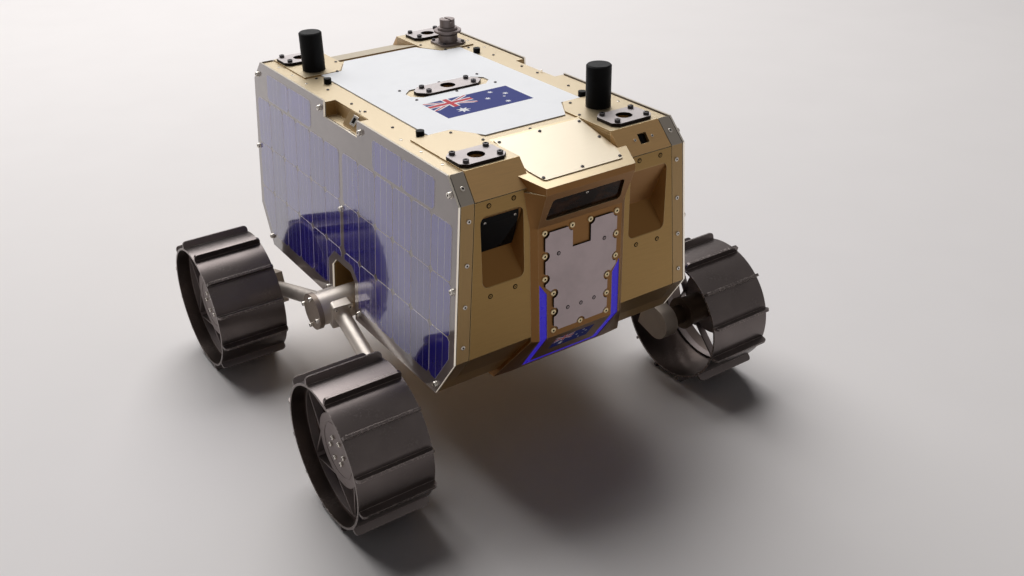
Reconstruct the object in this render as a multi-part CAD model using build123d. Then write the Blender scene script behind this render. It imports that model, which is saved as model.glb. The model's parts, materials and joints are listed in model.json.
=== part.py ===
from build123d import *

import os
from math import atan2, cos, degrees, hypot, radians, sin

# Planetary rover prototype: a gold box body with solar panels down both sides, on four lugged metal
# wheels that hang from a rocker housing on each side. Millimetres, +Z up, the front faces -Y and the
# vehicle's own left is +X. The origin is on the floor, under the middle of the body.

# Body envelope
body_length = 560.0
body_height = 273.5
belly_z = 146.5
top_half_width = 151.6
side_splay = 0.085
top_chamfer_run = 24.0
top_chamfer_drop = 27.5
bottom_chamfer_run = 39.0
bottom_chamfer_rise = 56.0
seam = 0.9
fit_gap = 0.3

# Deck, lids and radiator; steps are measured back from the core's end, nose first
deck_thick = 3.0
lid_thick = 2.0
lid_border = 17.6
lid_edge_gap = 1.0
channel_half_width = 63.5
radiator_thick = 1.5
radiator_border = 41.6
radiator_nose_inset = 6.5
radiator_step_out = 16.5
radiator_front_steps = (78.0, 117.0)
radiator_rear_steps = (68.0, 107.0)
radiator_window = (118.0, 37.0)
ramp_run = 61.0
ramp_slope = 0.212
ramp_block_depth = 14.0

# Payload plates on the corner lids and in the middle; borders from the lid's side and end
plate_size = (60.0, 41.0)
plate_border = (0.5, 4.0)
plate_thick = 4.0
plate_corner = 7.0
plate_bore_r = 10.0
lid_bore_extra = 1.0
socket_depth = 12.0
socket_sides = 12
centre_plate_size = (96.0, 33.0)
centre_plate_corner = 12.0

# Masts and studs; borders from the lid's side and end
mast_border = (26.5, 78.5)
mast_r = 15.5
mast_height = 52.0
mast_edge = 1.5
stud_border = 34.6
stud_front_back = 123.0
stud_rear_back = 142.0
stud_r = 5.0
stud_height = 7.0

# Connector pillar: radius and height of each step above its square foot
pillar_foot = 42.0
pillar_foot_corner = 6.0
pillar_foot_thick = 3.0
pillar_steps = ((14.0, 10.0), (11.5, 4.0), (20.0, 3.0), (14.5, 3.5), (11.0, 12.0))
pillar_slot = (3.0, 4.0)

# End rails, cheeks with their pockets, and the facets above them
rail_width = 16.3
cheek_gap = 4.3
pocket_inner_margin = 7.7
pocket_rail_margin = 7.7
pocket_drop = 18.5
pocket_height = 87.5
pocket_crease_drop = 51.0
pocket_depth = 18.0
pocket_lead = 5.0
pocket_corner_r = 9.0
pocket_taper = 24.0
pocket_window_thick = 2.5
pocket_window_rise = 2.2
pocket_window_inner = 6.0
pocket_window_outer = 2.0
pocket_window_back = 1.0
facet_sensor_shift = 0.5
facet_sensor_size = 13.0
facet_sensor_depth = 6.0
facet_sensor_thick = 2.0

# Hood and nose
hood_wing_out = 11.5
hood_wing_back = 9.0
hood_tip_in = 2.0
hood_reach = 23.7
hood_lip_drop = 31.5
window_face_height = 46.5
nose_proud = 5.0
nose_side_run = 7.8
nose_bend_drop = 7.0
nose_foot_drop = 9.5
nose_foot_lead = 2.0
nose_foot_out = 12.0
nose_keel_out = 25.0
nose_keel_back = 27.0
cover_inset = 3.0
cover_taper = 6.0
cover_back = 5.0
cover_taper_back = 12.0
cover_reach = 10.5
cover_thick = 1.2
cover_corner_r = 4.0
window_top_inset = 10.0
window_foot_inset = 7.0
window_height = 31.0
window_corner_r = 4.5
window_depth = 5.0
window_glass_thick = 2.0

# Nose plate: the screws of its upper and lower part stand on its edge, one pitch apart
nose_plate_inset = 8.5
nose_plate_step_in = 12.0
nose_plate_top_drop = 7.5
nose_plate_foot_rise = 9.0
nose_plate_step_drop = 68.5
nose_plate_thick = 2.0
nose_notch_half_width = 13.0
nose_notch_depth = 27.0
nose_screw_upper_pitch = 29.0
nose_screw_lower_pitch = 25.0
nose_screws_per_part = 3
scallop_r = 6.2
scallop_sides = 12

# Light strip round the nose plate
strip_inset = 1.3
strip_width = 10.6
strip_rise = 75.5
strip_bevel = 1.5
strip_depth = 3.0
strip_recess = 0.8
strip_foot_margin = 3.0

# Solar panels; the notch for the rocker is measured from the pivot
panel_gap = 1.0
panel_thick = 2.4
notch_half_width = 33.5
notch_shoulder_rise = 41.6
notch_top_half_width = 21.5
notch_top_rise = 53.0
cell_pitch_y = 44.3
cell_pitch_z = 68.0
cell_gap = 1.2
cell_corner = 4.5
cell_strip_half_width = 5.0
cell_top_drop = 51.5
cell_thick = 0.4
cell_margin = 11.0
cell_least_area = 120.0
upper_cell_inner = 41.0
upper_cell_outer = 24.5
upper_cell_foot_drop = 47.5
upper_cell_top_drop = 10.0
spacer_r = 5.0

# Places of the spacers behind a panel: back from its end, out from the recess or the notch, and down
# from the top or up from the belly
top_spacer = (18.0, 21.0)
middle_spacer = (13.0, 130.0)
low_spacer = (37.0, 13.5)
recess_spacer = (11.0, 11.5)
notch_spacer = (12.5, 14.0)
centre_spacer_drop = 129.0

# Side sensor recess in each long edge of the deck
recess_depth = 13.1
recess_half_width = 46.0
recess_drop = 20.5
recess_panel_gap = 0.5
sensor_length = 44.0
sensor_end_gap = 5.0
sensor_foot = 12.0
sensor_toe = 2.5

# Rocker housing in its well, arms, knuckles and motors; standoffs from the body's side at the pivot
pivot_rise = 11.5
well_depth = 32.6
housing_r = 22.0
housing_standoff = 43.1
cap_r = 25.0
cap_thick = 7.0
arm_r = 10.5
arm_standoff = 16.1
arm_wheel_gap = 14.0
clamp_width = 29.0
clamp_height = 38.0
clamp_reach = 24.0
clamp_corner_r = 4.0
knuckle_r = 23.0
knuckle_width = 21.5
knuckle_gap = 5.0
knuckle_reach = 31.0
knuckle_spare = 4.0
motor_neck_r = 13.5
motor_neck_length = 26.0
motor_flange_r = 23.0
motor_flange_thick = 5.0
motor_r = 20.5
motor_gap = 6.0
axle_r = 6.0
axle_clearance = 0.05
axle_end_gap = 1.0

# Wheels
wheelbase = 423.0
wheel_standoff = 43.1
wheel_width = 97.5
drum_r = 89.5
drum_wall = 3.0
lug_count = 12
lug_height = 9.5
lug_thick = 3.6
lug_end_gap = 0.6
lug_corner_r = 5.0
lug_corner_angles = (90, 60, 30, 0)
lug_root = 1.5
hub_r = 47.0
hub_inset = 19.0
hub_wall = 4.0
boss_r = 24.0
boss_length = 16.0
ring_thick = 2.7
spoke_pairs = 5
spoke_spread = 34.0
spoke_thick = 2.5
spoke_depth = 10.0
spoke_root_depth = 2.0

# Derived heights
top_z = belly_z + body_height
facet_foot_z = top_z - top_chamfer_drop
front_foot_z = belly_z + bottom_chamfer_rise
chamfer_back_z = front_foot_z - bottom_chamfer_rise * top_chamfer_run / bottom_chamfer_run
deck_z = top_z - lid_thick
core_top_z = deck_z - deck_thick
pocket_top_z = facet_foot_z - pocket_drop
pocket_bottom_z = pocket_top_z - pocket_height
pocket_crease_z = pocket_top_z - pocket_crease_drop
hood_lip_z = top_z - hood_lip_drop
nose_shoulder_z = hood_lip_z - window_face_height
nose_bend_z = front_foot_z - nose_bend_drop
nose_foot_z = belly_z - nose_foot_drop
nose_plate_top_z = nose_shoulder_z - nose_plate_top_drop
nose_plate_foot_z = nose_bend_z + nose_plate_foot_rise
nose_plate_step_z = nose_plate_top_z - nose_plate_step_drop
strip_top_z = nose_bend_z + strip_rise
recess_z = top_z - recess_drop
cell_top_z = top_z - cell_top_drop
pivot_z = belly_z + pivot_rise
notch_shoulder_z = pivot_z + notch_shoulder_rise
notch_top_z = pivot_z + notch_top_rise
lug_pitch = 360 / lug_count
lug_tip_r = drum_r + lug_height
wheel_z = lug_tip_r * cos(radians(lug_pitch / 2)) + lug_thick / 2 * sin(radians(lug_pitch / 2))

# Derived lengths, along Y
half_length = body_length / 2
core_end_y = half_length - top_chamfer_run
belly_end_y = half_length - bottom_chamfer_run
ramp_start_y = core_end_y - ramp_run
hood_wing_y = -half_length + hood_wing_back
hood_tip_y = -half_length - hood_reach
nose_y = -half_length - nose_proud
nose_foot_y = -belly_end_y - nose_foot_lead
nose_keel_back_y = -belly_end_y + nose_keel_back
wheel_y = wheelbase / 2

# Derived widths, along X
lid_outer_x = top_half_width - lid_border
radiator_half_width = top_half_width - radiator_border
radiator_nose_half_width = channel_half_width - radiator_nose_inset
radiator_step_half_width = channel_half_width + radiator_step_out
recess_floor_x = top_half_width - recess_depth
cheek_inner_x = channel_half_width + cheek_gap
pocket_inner_x = cheek_inner_x + pocket_inner_margin
pocket_outer_x = top_half_width + (top_z - pocket_top_z) * side_splay - rail_width - pocket_rail_margin
hood_wing_half_width = channel_half_width + hood_wing_out
hood_tip_half_width = channel_half_width - hood_tip_in
nose_half_width = cheek_inner_x - nose_side_run
nose_foot_half_width = nose_half_width + nose_foot_out
nose_keel_half_width = nose_foot_half_width + nose_keel_out
nose_plate_half_width = nose_half_width - nose_plate_inset
nose_plate_foot_half_width = nose_plate_half_width - nose_plate_step_in
strip_outer_x = nose_half_width - strip_inset
pivot_side_x = top_half_width + (top_z - pivot_z) * side_splay
well_floor_x = pivot_side_x - well_depth
housing_outer_x = pivot_side_x + housing_standoff
arm_pivot_x = pivot_side_x + arm_standoff
wheel_inner_x = pivot_side_x + wheel_standoff
arm_wheel_x = wheel_inner_x - arm_wheel_gap
knuckle_outer_x = wheel_inner_x - knuckle_gap
knuckle_inner_x = knuckle_outer_x - knuckle_width
hub_face_x = wheel_inner_x + wheel_width - hub_inset
hub_back_x = hub_face_x - boss_length

# Derived places on the deck, as (x, y)
plate_x = lid_outer_x - plate_border[0] - plate_size[0] / 2
plate_y = core_end_y - plate_border[1] - plate_size[1] / 2
mast_x = lid_outer_x - mast_border[0]
mast_y = core_end_y - mast_border[1]
stud_x = top_half_width - stud_border

# Larger than any piece, for cutting tools, and how far the leaning sides run past the body
far = 1000.0
side_spare = 20.0

# Spacers behind a panel, in both ends: (y, z), then one on the middle line
spacer_places = (
    (half_length - top_spacer[0], top_z - top_spacer[1]),
    (half_length - middle_spacer[0], top_z - middle_spacer[1]),
    (half_length - low_spacer[0], belly_z + low_spacer[1]),
    (recess_half_width + recess_spacer[0], top_z - recess_spacer[1]),
    (notch_half_width + notch_spacer[0], belly_z + notch_spacer[1]),
)
centre_spacer_z = top_z - centre_spacer_drop

# Corner name, side along X, end along Y
corners = (
    ("front_right", -1, -1),
    ("front_left", 1, -1),
    ("rear_right", -1, 1),
    ("rear_left", 1, 1),
)
sides = (("right", -1), ("left", 1))


def side_x(z, out=0.0):
    """Half width of the body at a height, plus a distance outwards."""
    return top_half_width + (top_z - z) * side_splay + out


def slab_yz(points, x0, x1):
    """Solid with a (y, z) outline, from x0 to x1."""
    outline = Polyline([(x0, y, z) for y, z in points], close=True)
    return extrude(make_face(outline), amount=x1 - x0, dir=(1, 0, 0))


def slab_xz(points, y0, y1):
    """Solid with an (x, z) outline, from y0 to y1."""
    outline = Polyline([(x, y0, z) for x, z in points], close=True)
    return extrude(make_face(outline), amount=y1 - y0, dir=(0, 1, 0))


def slab_xy(points, z0, z1):
    """Solid with an (x, y) outline, from z0 to z1."""
    outline = Polyline([(x, y, z0) for x, y in points], close=True)
    return extrude(make_face(outline), amount=z1 - z0, dir=(0, 0, 1))


def block(x0, x1, y0, y1, z0, z1):
    centre = ((x0 + x1) / 2, (y0 + y1) / 2, (z0 + z1) / 2)
    return Pos(*centre) * Box(x1 - x0, y1 - y0, z1 - z0)


def rod(r, x0, x1, y, z):
    """Cylinder along X."""
    return Pos((x0 + x1) / 2, y, z) * Rot(0, 90, 0) * Cylinder(r, x1 - x0)


def post(r, x, y, z0, z1):
    """Cylinder along Z."""
    return Pos(x, y, (z0 + z1) / 2) * Cylinder(r, z1 - z0)


def on_side(part, side):
    """The part as modelled for +X, or its mirror image for -X."""
    return part if side > 0 else mirror(part, about=Plane.YZ)


def at_end(part, end):
    """The part as modelled for the front, or its mirror image for the rear."""
    return part if end < 0 else mirror(part, about=Plane.XZ)


def both_sides(part):
    return [part, mirror(part, about=Plane.YZ)]


def inside_sides(inset=0.0):
    """Everything between the two leaning sides, moved in by an inset."""
    low, high = belly_z - side_spare, top_z + side_spare
    outline = [
        (-side_x(low, -inset), low),
        (side_x(low, -inset), low),
        (side_x(high, -inset), high),
        (-side_x(high, -inset), high),
    ]
    return slab_xz(outline, -half_length - side_spare, half_length + side_spare)


def ramp_z(y):
    """Height of the ramp surface at a distance from the body's middle."""
    return top_z - (abs(y) - ramp_start_y) * ramp_slope


def end_outline(back_z):
    """(y, z) outline of what fills the front end, from the core's end to the front plane."""
    return [
        (-core_end_y, back_z),
        (-half_length, facet_foot_z),
        (-half_length, front_foot_z),
        (-core_end_y, chamfer_back_z),
    ]


def make_core():
    core = slab_yz(
        [
            (-core_end_y, core_top_z),
            (-core_end_y, chamfer_back_z),
            (-belly_end_y, belly_z),
            (belly_end_y, belly_z),
            (core_end_y, chamfer_back_z),
            (core_end_y, core_top_z),
        ],
        -far,
        far,
    )
    core &= inside_sides()
    for end in (-1, 1):
        core -= at_end(channel_block(channel_half_width), end)
    for side in (-1, 1):
        core -= on_side(pivot_well(), side)
        core -= on_side(sensor_recess(), side)
    for x, y in plate_places():
        core -= plate_pocket(x, y, top_z - socket_depth, top_z)
    core -= plate_pocket(0, 0, top_z - socket_depth, top_z)
    return core


def channel_block(half_width):
    """Space of the ramp block between the front lids."""
    y0, y1 = -core_end_y, -ramp_start_y
    floor = ramp_z(y0) - ramp_block_depth
    return block(-half_width, half_width, y0, y1, floor, top_z + 5)


def pivot_well():
    """House-shaped well in the side, where the rocker housing goes in."""
    outline = [
        (-notch_half_width, belly_z - 10),
        (-notch_half_width, notch_shoulder_z),
        (-notch_top_half_width, notch_top_z),
        (notch_top_half_width, notch_top_z),
        (notch_half_width, notch_shoulder_z),
        (notch_half_width, belly_z - 10),
    ]
    return slab_yz(outline, well_floor_x, far)


def sensor_recess():
    return block(recess_floor_x, far, -recess_half_width, recess_half_width, recess_z, far)


def plate_pocket(x, y, z0, z1):
    """Opening under a payload plate's bore, wider than the bore and cut in flats."""
    outline = RegularPolygon(plate_bore_r + lid_bore_extra, socket_sides)
    return Pos(x, y, z0) * extrude(outline, amount=z1 - z0)


def plate_places():
    return [(side * plate_x, end * plate_y) for side in (-1, 1) for end in (-1, 1)]


def make_deck():
    deck = block(-far, far, -core_end_y, core_end_y, core_top_z, deck_z) & inside_sides()
    for end in (-1, 1):
        deck -= at_end(channel_block(channel_half_width), end)
    for side in (-1, 1):
        deck -= on_side(sensor_recess(), side)
    for x, y in plate_places():
        deck -= plate_pocket(x, y, core_top_z - 1, deck_z + 1)
    deck -= plate_pocket(0, 0, core_top_z - 1, deck_z + 1)
    return deck


def radiator_steps(end):
    """Distances of the radiator's nose and of its step from the body's middle, at one end."""
    nose, step = radiator_front_steps if end < 0 else radiator_rear_steps
    return core_end_y - nose, core_end_y - step


def lid_outline(end):
    """(x, y) outline of the +X corner lid at one end."""
    nose, step = radiator_steps(end)
    slope = (radiator_step_half_width - radiator_nose_half_width) / (nose - step)
    wall = step + (radiator_step_half_width - channel_half_width) / slope
    gap = lid_edge_gap
    return [
        (lid_outer_x, end * (step + gap)),
        (radiator_step_half_width + gap, end * (step + gap)),
        (channel_half_width, end * (wall + gap * 2)),
        (channel_half_width, end * core_end_y),
        (lid_outer_x, end * core_end_y),
    ]


def make_lids():
    lids = []
    for end in (-1, 1):
        lid = slab_xy(lid_outline(end), deck_z, top_z)
        lid -= plate_pocket(plate_x, end * plate_y, deck_z - 1, top_z + 1)
        lids += both_sides(lid)
    return lids


def make_radiator():
    front_nose, front_step = radiator_steps(-1)
    rear_nose, rear_step = radiator_steps(1)
    half = [
        (radiator_nose_half_width, -front_nose),
        (radiator_step_half_width, -front_step),
        (radiator_half_width, -front_step),
        (radiator_half_width, rear_step),
        (radiator_step_half_width, rear_step),
        (radiator_nose_half_width, rear_nose),
    ]
    sheet = slab_xy(both_halves(half), deck_z, deck_z + radiator_thick)
    wide, deep = radiator_window
    return sheet - slab_xy(cut_corners(wide, deep, centre_plate_corner), deck_z - 1, top_z + 1)


def cut_corners(wide, deep, cut):
    """Rectangle round the origin with its corners cut off."""
    x, y = wide / 2, deep / 2
    return [
        (-x, -y + cut),
        (-x + cut, -y),
        (x - cut, -y),
        (x, -y + cut),
        (x, y - cut),
        (x - cut, y),
        (-x + cut, y),
        (-x, y - cut),
    ]


def make_mount_plate(size, corner, x, y, z):
    plate = Pos(x, y, 0) * slab_xy(cut_corners(*size, corner), z, z + plate_thick)
    return plate - post(plate_bore_r, x, y, z - 1, z + plate_thick + 1)


def make_mast(x, y):
    mast = post(mast_r, x, y, top_z, top_z + mast_height)
    rim = mast.edges().filter_by(GeomType.CIRCLE).sort_by(Axis.Z)[-1]
    return chamfer(rim, mast_edge)


def make_pillar(x, y):
    z = top_z + pillar_foot_thick
    pillar = Pos(x, y, 0) * slab_xy(cut_corners(pillar_foot, pillar_foot, pillar_foot_corner), top_z, z)
    for r, height in pillar_steps:
        pillar += post(r, x, y, z, z + height)
        z += height
    slot_wide, slot_deep = pillar_slot
    return pillar - block(x - slot_wide / 2, x + slot_wide / 2, y - far, y + far, z - slot_deep, z + 1)


def make_rail():
    """+X rail of the front end, along the leaning edge."""
    rail = slab_yz(end_outline(top_z), 0, far) & inside_sides()
    return rail - inside_sides(rail_width)


def face_outline():
    """(y, z) outline of the front end below its facets."""
    return [
        (-core_end_y, facet_foot_z - seam),
        (-half_length, facet_foot_z - seam),
        (-half_length, front_foot_z),
        (-core_end_y, chamfer_back_z),
    ]


def make_cheek():
    """+X cheek block of the front end, with its camera pocket."""
    cheek = slab_yz(face_outline(), cheek_inner_x, far) & inside_sides(rail_width + seam)
    return cheek - make_pocket()


def make_pocket():
    """Two sloping faces that meet at a crease, with leaning side walls and rounded corners."""
    wide = pocket_outer_x - pocket_inner_x
    tall = pocket_top_z - pocket_bottom_z
    mouth = Plane(
        origin=((pocket_inner_x + pocket_outer_x) / 2, -half_length, (pocket_top_z + pocket_bottom_z) / 2),
        x_dir=(1, 0, 0),
        z_dir=(0, 1, 0),
    )
    outline = mouth * RectangleRounded(wide, tall, pocket_corner_r)
    well = extrude(outline, amount=pocket_depth + 2, taper=pocket_taper)
    crease = (-half_length + pocket_depth, pocket_crease_z)
    wedge = [pocket_line(pocket_top_z), crease, pocket_line(pocket_bottom_z)]
    return well & slab_yz(wedge, 0, far)


def pocket_line(mouth_z):
    """(y, z) just outside the mouth, on the line from the crease through the mouth's edge."""
    rise = (mouth_z - pocket_crease_z) * pocket_lead / pocket_depth
    return (-half_length - pocket_lead, mouth_z + rise)


def make_pocket_window():
    """Dark camera window that lies on the roof of the +X pocket."""
    outer_y, outer_z = pocket_line(pocket_top_z)
    crease_y = -half_length + pocket_depth
    run, rise = crease_y - outer_y, outer_z - pocket_crease_z
    length = hypot(run, rise)
    up = (-run / length * pocket_window_rise, rise / length * pocket_window_rise)
    off = (-rise / length * pocket_window_thick, -run / length * pocket_window_thick)
    foot = (crease_y + up[0], pocket_crease_z + up[1])
    sheet = slab_yz(
        [
            foot,
            (outer_y, outer_z),
            (outer_y + off[0], outer_z + off[1]),
            (foot[0] + off[0], foot[1] + off[1]),
        ],
        pocket_inner_x + pocket_window_inner,
        pocket_outer_x - pocket_window_outer,
    )
    behind_face = block(0, far, -half_length + pocket_window_back, far, 0, far)
    return sheet & make_pocket() & behind_face


def facet_outline():
    """(y, z) outline of the wedge above the front end's upright face."""
    return [
        (-core_end_y, top_z),
        (-half_length, facet_foot_z),
        (-core_end_y, facet_foot_z),
    ]


def make_facet():
    """+X wedge above a cheek."""
    return slab_yz(facet_outline(), channel_half_width, far) & inside_sides(rail_width + seam)


def facet_plane():
    """Plane on the front facet's slope, with its normal outwards."""
    run, drop = top_chamfer_run, top_z - facet_foot_z
    middle = (0, -core_end_y - run / 2, top_z - drop / 2)
    return Plane(origin=middle, x_dir=(1, 0, 0), z_dir=(0, -drop, run))


def facet_socket():
    face = Rectangle(facet_sensor_size, facet_sensor_size)
    place = facet_plane() * Pos(plate_x - facet_sensor_shift, 0)
    return extrude(place * face, amount=-facet_sensor_depth)


def make_facet_sensor():
    size = facet_sensor_size - 2 * fit_gap
    place = facet_plane().offset(-facet_sensor_depth) * Pos(plate_x - facet_sensor_shift, 0)
    return extrude(place * Rectangle(size, size), amount=facet_sensor_thick)


def section(points, z):
    return make_face(Polyline([(x, y, z) for x, y in points], close=True))


def both_halves(points):
    """Outline from its +X half, listed from the back to the front."""
    return points + [(-x, y) for x, y in reversed(points)]


def make_nose_solid():
    """Hood, window face, upright nose and keel, before the neighbours are taken out of it."""
    back_y = -core_end_y
    keel_edge_y = nose_foot_y + nose_foot_lead
    # Section height, then its half outline from the back to the front
    lip = (
        hood_lip_z,
        (hood_wing_half_width, back_y),
        (hood_wing_half_width, -half_length),
        (hood_tip_half_width, hood_tip_y),
    )
    shoulder = (
        nose_shoulder_z,
        (cheek_inner_x, back_y),
        (cheek_inner_x, -half_length),
        (nose_half_width, nose_y),
    )
    bend = (nose_bend_z, *shoulder[1:])
    keel = (
        nose_foot_z,
        (nose_keel_half_width, nose_keel_back_y),
        (nose_keel_half_width, keel_edge_y),
        (nose_foot_half_width, nose_foot_y),
    )
    hood_half = [
        (hood_wing_half_width, back_y),
        (hood_wing_half_width, hood_wing_y),
        (hood_tip_half_width, hood_tip_y),
    ]
    nose = slab_xy(both_halves(hood_half), hood_lip_z, top_z + 5)
    for low, high in ((shoulder, lip), (bend, shoulder), (keel, bend)):
        sections = [section(both_halves(list(half)), z) for z, *half in (low, high)]
        nose += loft(sections, ruled=True)
    return nose


def above_ramp():
    """Everything above the ramp surface."""
    return slab_yz(
        [
            (-ramp_start_y, ramp_z(-ramp_start_y)),
            (-far, ramp_z(-far)),
            (-far, far),
            (-ramp_start_y, far),
        ],
        -far,
        far,
    )


def core_envelope():
    """The body's core without its channels, wells and sockets."""
    outline = [
        (-core_end_y, far),
        (-core_end_y, chamfer_back_z),
        (-belly_end_y, belly_z),
        (0, belly_z),
        (0, far),
    ]
    return slab_yz(outline, -far, far)


def make_nose():
    nose = make_nose_solid() - core_envelope() - above_ramp()
    cheek_space = slab_yz(end_outline(facet_foot_z), cheek_inner_x - seam / 2, far)
    facet_space = slab_yz(facet_outline(), channel_half_width - fit_gap, far)
    for space in (cheek_space, facet_space):
        for one in both_sides(space):
            nose -= one
    nose += channel_block(channel_half_width - fit_gap) - above_ramp()
    nose -= window_socket()
    return nose - strip_band(0.0, strip_depth)


def ramp_plane():
    """Plane on the front ramp, with its origin on the centre line at the ramp's start."""
    return Plane(
        origin=(0, -ramp_start_y, top_z),
        x_dir=(1, 0, 0),
        z_dir=(0, -ramp_slope, 1),
    )


def make_cover():
    """Flat cover on the ramp and the hood; its outline is measured down the slope."""
    stretch = hypot(1, ramp_slope)
    half_width = channel_half_width - cover_inset
    half = [
        (half_width, -cover_back * stretch),
        (half_width, (ramp_start_y - half_length + cover_taper_back) * stretch),
        (half_width - cover_taper, (ramp_start_y - half_length - cover_reach) * stretch),
    ]
    outline = make_face(Polyline([(x, y, 0) for x, y in both_halves(half)], close=True))
    cover = extrude(ramp_plane() * outline, amount=cover_thick)
    front = cover.edges().filter_by(lambda e: e.length < cover_thick * 1.1).sort_by(Axis.Y)[:2]
    return fillet(front, cover_corner_r)


def window_plane():
    """Plane on the leaning window face under the hood's lip, normal outwards."""
    run, rise = nose_y - hood_tip_y, hood_lip_z - nose_shoulder_z
    middle = (0, (nose_y + hood_tip_y) / 2, (hood_lip_z + nose_shoulder_z) / 2)
    return Plane(origin=middle, x_dir=(1, 0, 0), z_dir=(0, -rise, -run))


def window_face(extra=0.0):
    top = nose_half_width - window_top_inset + extra
    foot = nose_half_width - window_foot_inset + extra
    half = window_height / 2 + extra
    corners_2d = [(top, half), (-top, half), (-foot, -half), (foot, -half)]
    face = make_face(Polyline([(x, y, 0) for x, y in corners_2d], close=True))
    return fillet(face.vertices(), window_corner_r)


def window_socket():
    return extrude(window_plane() * window_face(), amount=-window_depth)


def make_window():
    plane = window_plane().offset(-window_depth)
    return extrude(plane * window_face(-fit_gap), amount=window_glass_thick)


def make_nose_plate():
    half = [
        (nose_plate_foot_half_width, nose_plate_foot_z),
        (nose_plate_foot_half_width, nose_plate_step_z - nose_plate_step_in),
        (nose_plate_half_width, nose_plate_step_z),
        (nose_plate_half_width, nose_plate_top_z),
        (nose_notch_half_width, nose_plate_top_z),
        (nose_notch_half_width, nose_plate_top_z - nose_notch_depth),
    ]
    plate = slab_xz(both_halves(half), nose_y - nose_plate_thick, nose_y)
    flats = RegularPolygon(scallop_r, scallop_sides)
    scallop = Rot(90, 0, 0) * extrude(flats, amount=2 * nose_plate_thick, both=True)
    for x, z in nose_screw_places():
        plate -= Pos(x, nose_y, z) * scallop
    return plate


def nose_screw_places():
    """(x, z) of the screws on the nose plate's edge."""
    half = [(nose_notch_half_width, nose_plate_top_z)]
    for row in range(nose_screws_per_part):
        half.append((nose_plate_half_width, nose_plate_top_z - row * nose_screw_upper_pitch))
        half.append((nose_plate_foot_half_width, nose_plate_foot_z + row * nose_screw_lower_pitch))
    return [(side * x, z) for side in (-1, 1) for x, z in half] + [(0, nose_plate_foot_z)]


def strip_band(shallow, deep):
    """U of the light strip between two depths below the nose's front faces."""
    run, drop = nose_foot_y - nose_y, nose_bend_z - nose_foot_z
    slope = hypot(run, drop)
    along = (run / slope, -drop / slope)
    inwards = (drop / slope, run / slope)
    turn = (slope - drop) / run

    def bent(depth, s):
        """(y, z) at a depth below the lower face, s from the bend along it."""
        y = nose_y + along[0] * s + inwards[0] * depth
        z = nose_bend_z + along[1] * s + inwards[1] * depth
        return (y, z)

    foot = slope - strip_foot_margin
    bar = foot - strip_width * 0.8
    corner_in = (nose_y + deep, nose_bend_z + turn * deep)
    corner_out = (nose_y + shallow, nose_bend_z + turn * shallow)
    leg = [
        (nose_y + shallow, strip_top_z),
        corner_out,
        bent(shallow, foot),
        bent(deep, foot),
        corner_in,
        (nose_y + deep, strip_top_z),
    ]
    strip = slab_yz(leg, strip_outer_x - strip_width, strip_outer_x)
    bevel = slab_xz(
        [
            (strip_outer_x, strip_top_z),
            (strip_outer_x - strip_width, strip_top_z - strip_bevel * strip_width),
            (strip_outer_x - strip_width, strip_top_z + 1),
            (strip_outer_x, strip_top_z + 1),
        ],
        nose_y - 1,
        nose_y + deep + 1,
    )
    strip -= bevel
    across = [bent(shallow, bar), bent(shallow, foot), bent(deep, foot), bent(deep, bar)]
    strip += mirror(strip, about=Plane.YZ)
    return strip + slab_yz(across, -strip_outer_x + 1, strip_outer_x - 1)


def make_rear_block():
    """Plain rear end between the rails."""
    return at_end(slab_yz(face_outline(), -far, far) & inside_sides(rail_width + seam), 1)


def make_rear_ramp():
    half_width = channel_half_width - fit_gap
    facet = slab_yz(facet_outline(), -half_width, half_width)
    return at_end(channel_block(half_width) + facet - above_ramp(), 1)


def panel_outline():
    return [
        (-core_end_y, top_z),
        (-half_length, facet_foot_z),
        (-half_length, front_foot_z),
        (-belly_end_y, belly_z),
        (belly_end_y, belly_z),
        (half_length, front_foot_z),
        (half_length, facet_foot_z),
        (core_end_y, top_z),
    ]


def side_layer(inner, outer):
    """Leaning layer outside the +X side, between two distances from it."""
    low, high = belly_z - side_spare, top_z + side_spare
    outline = [
        (side_x(low, inner), low),
        (side_x(low, outer), low),
        (side_x(high, outer), high),
        (side_x(high, inner), high),
    ]
    return slab_xz(outline, -half_length - side_spare, half_length + side_spare)


def make_panel():
    panel = slab_yz(panel_outline(), 0, far) & side_layer(panel_gap, panel_gap + panel_thick)
    panel -= pivot_well()
    half_width = recess_half_width + recess_panel_gap
    return panel - block(0, far, -half_width, half_width, recess_z, far)


def cell_region():
    """Flat region that cells may cover: the panel less its margin and the notch's."""
    outline = make_face(Polyline([(y, z, 0) for y, z in panel_outline()], close=True))
    region = offset(outline, amount=-cell_margin, kind=Kind.INTERSECTION)
    notch = [
        (notch_half_width, belly_z - 2 * cell_margin),
        (notch_half_width, notch_shoulder_z),
        (notch_top_half_width, notch_top_z),
    ]
    hole = make_face(Polyline([(y, z, 0) for y, z in both_halves(notch)], close=True))
    return region - offset(hole, amount=cell_margin, kind=Kind.INTERSECTION)


def cell_rectangles():
    """(y0, y1, z0, z1) of every cell on one panel, before the region cuts them."""
    columns = int((half_length - cell_margin - cell_strip_half_width) / cell_pitch_y) + 1
    rows = int((cell_top_z - belly_z - cell_margin) / cell_pitch_z)
    half = []
    for column in range(columns):
        near = cell_strip_half_width + column * cell_pitch_y
        for row in range(rows):
            high = cell_top_z - row * cell_pitch_z
            half.append((near, near + cell_pitch_y - cell_gap, high - cell_pitch_z + cell_gap, high))
    inner, outer = recess_half_width + upper_cell_inner, core_end_y - upper_cell_outer
    middle = (inner + outer) / 2
    foot, top = top_z - upper_cell_foot_drop, top_z - upper_cell_top_drop
    half.append((inner, middle - cell_gap / 2, foot, top))
    half.append((middle + cell_gap / 2, outer, foot, top))
    return half + [(-y1, -y0, z0, z1) for y0, y1, z0, z1 in half]


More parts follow.
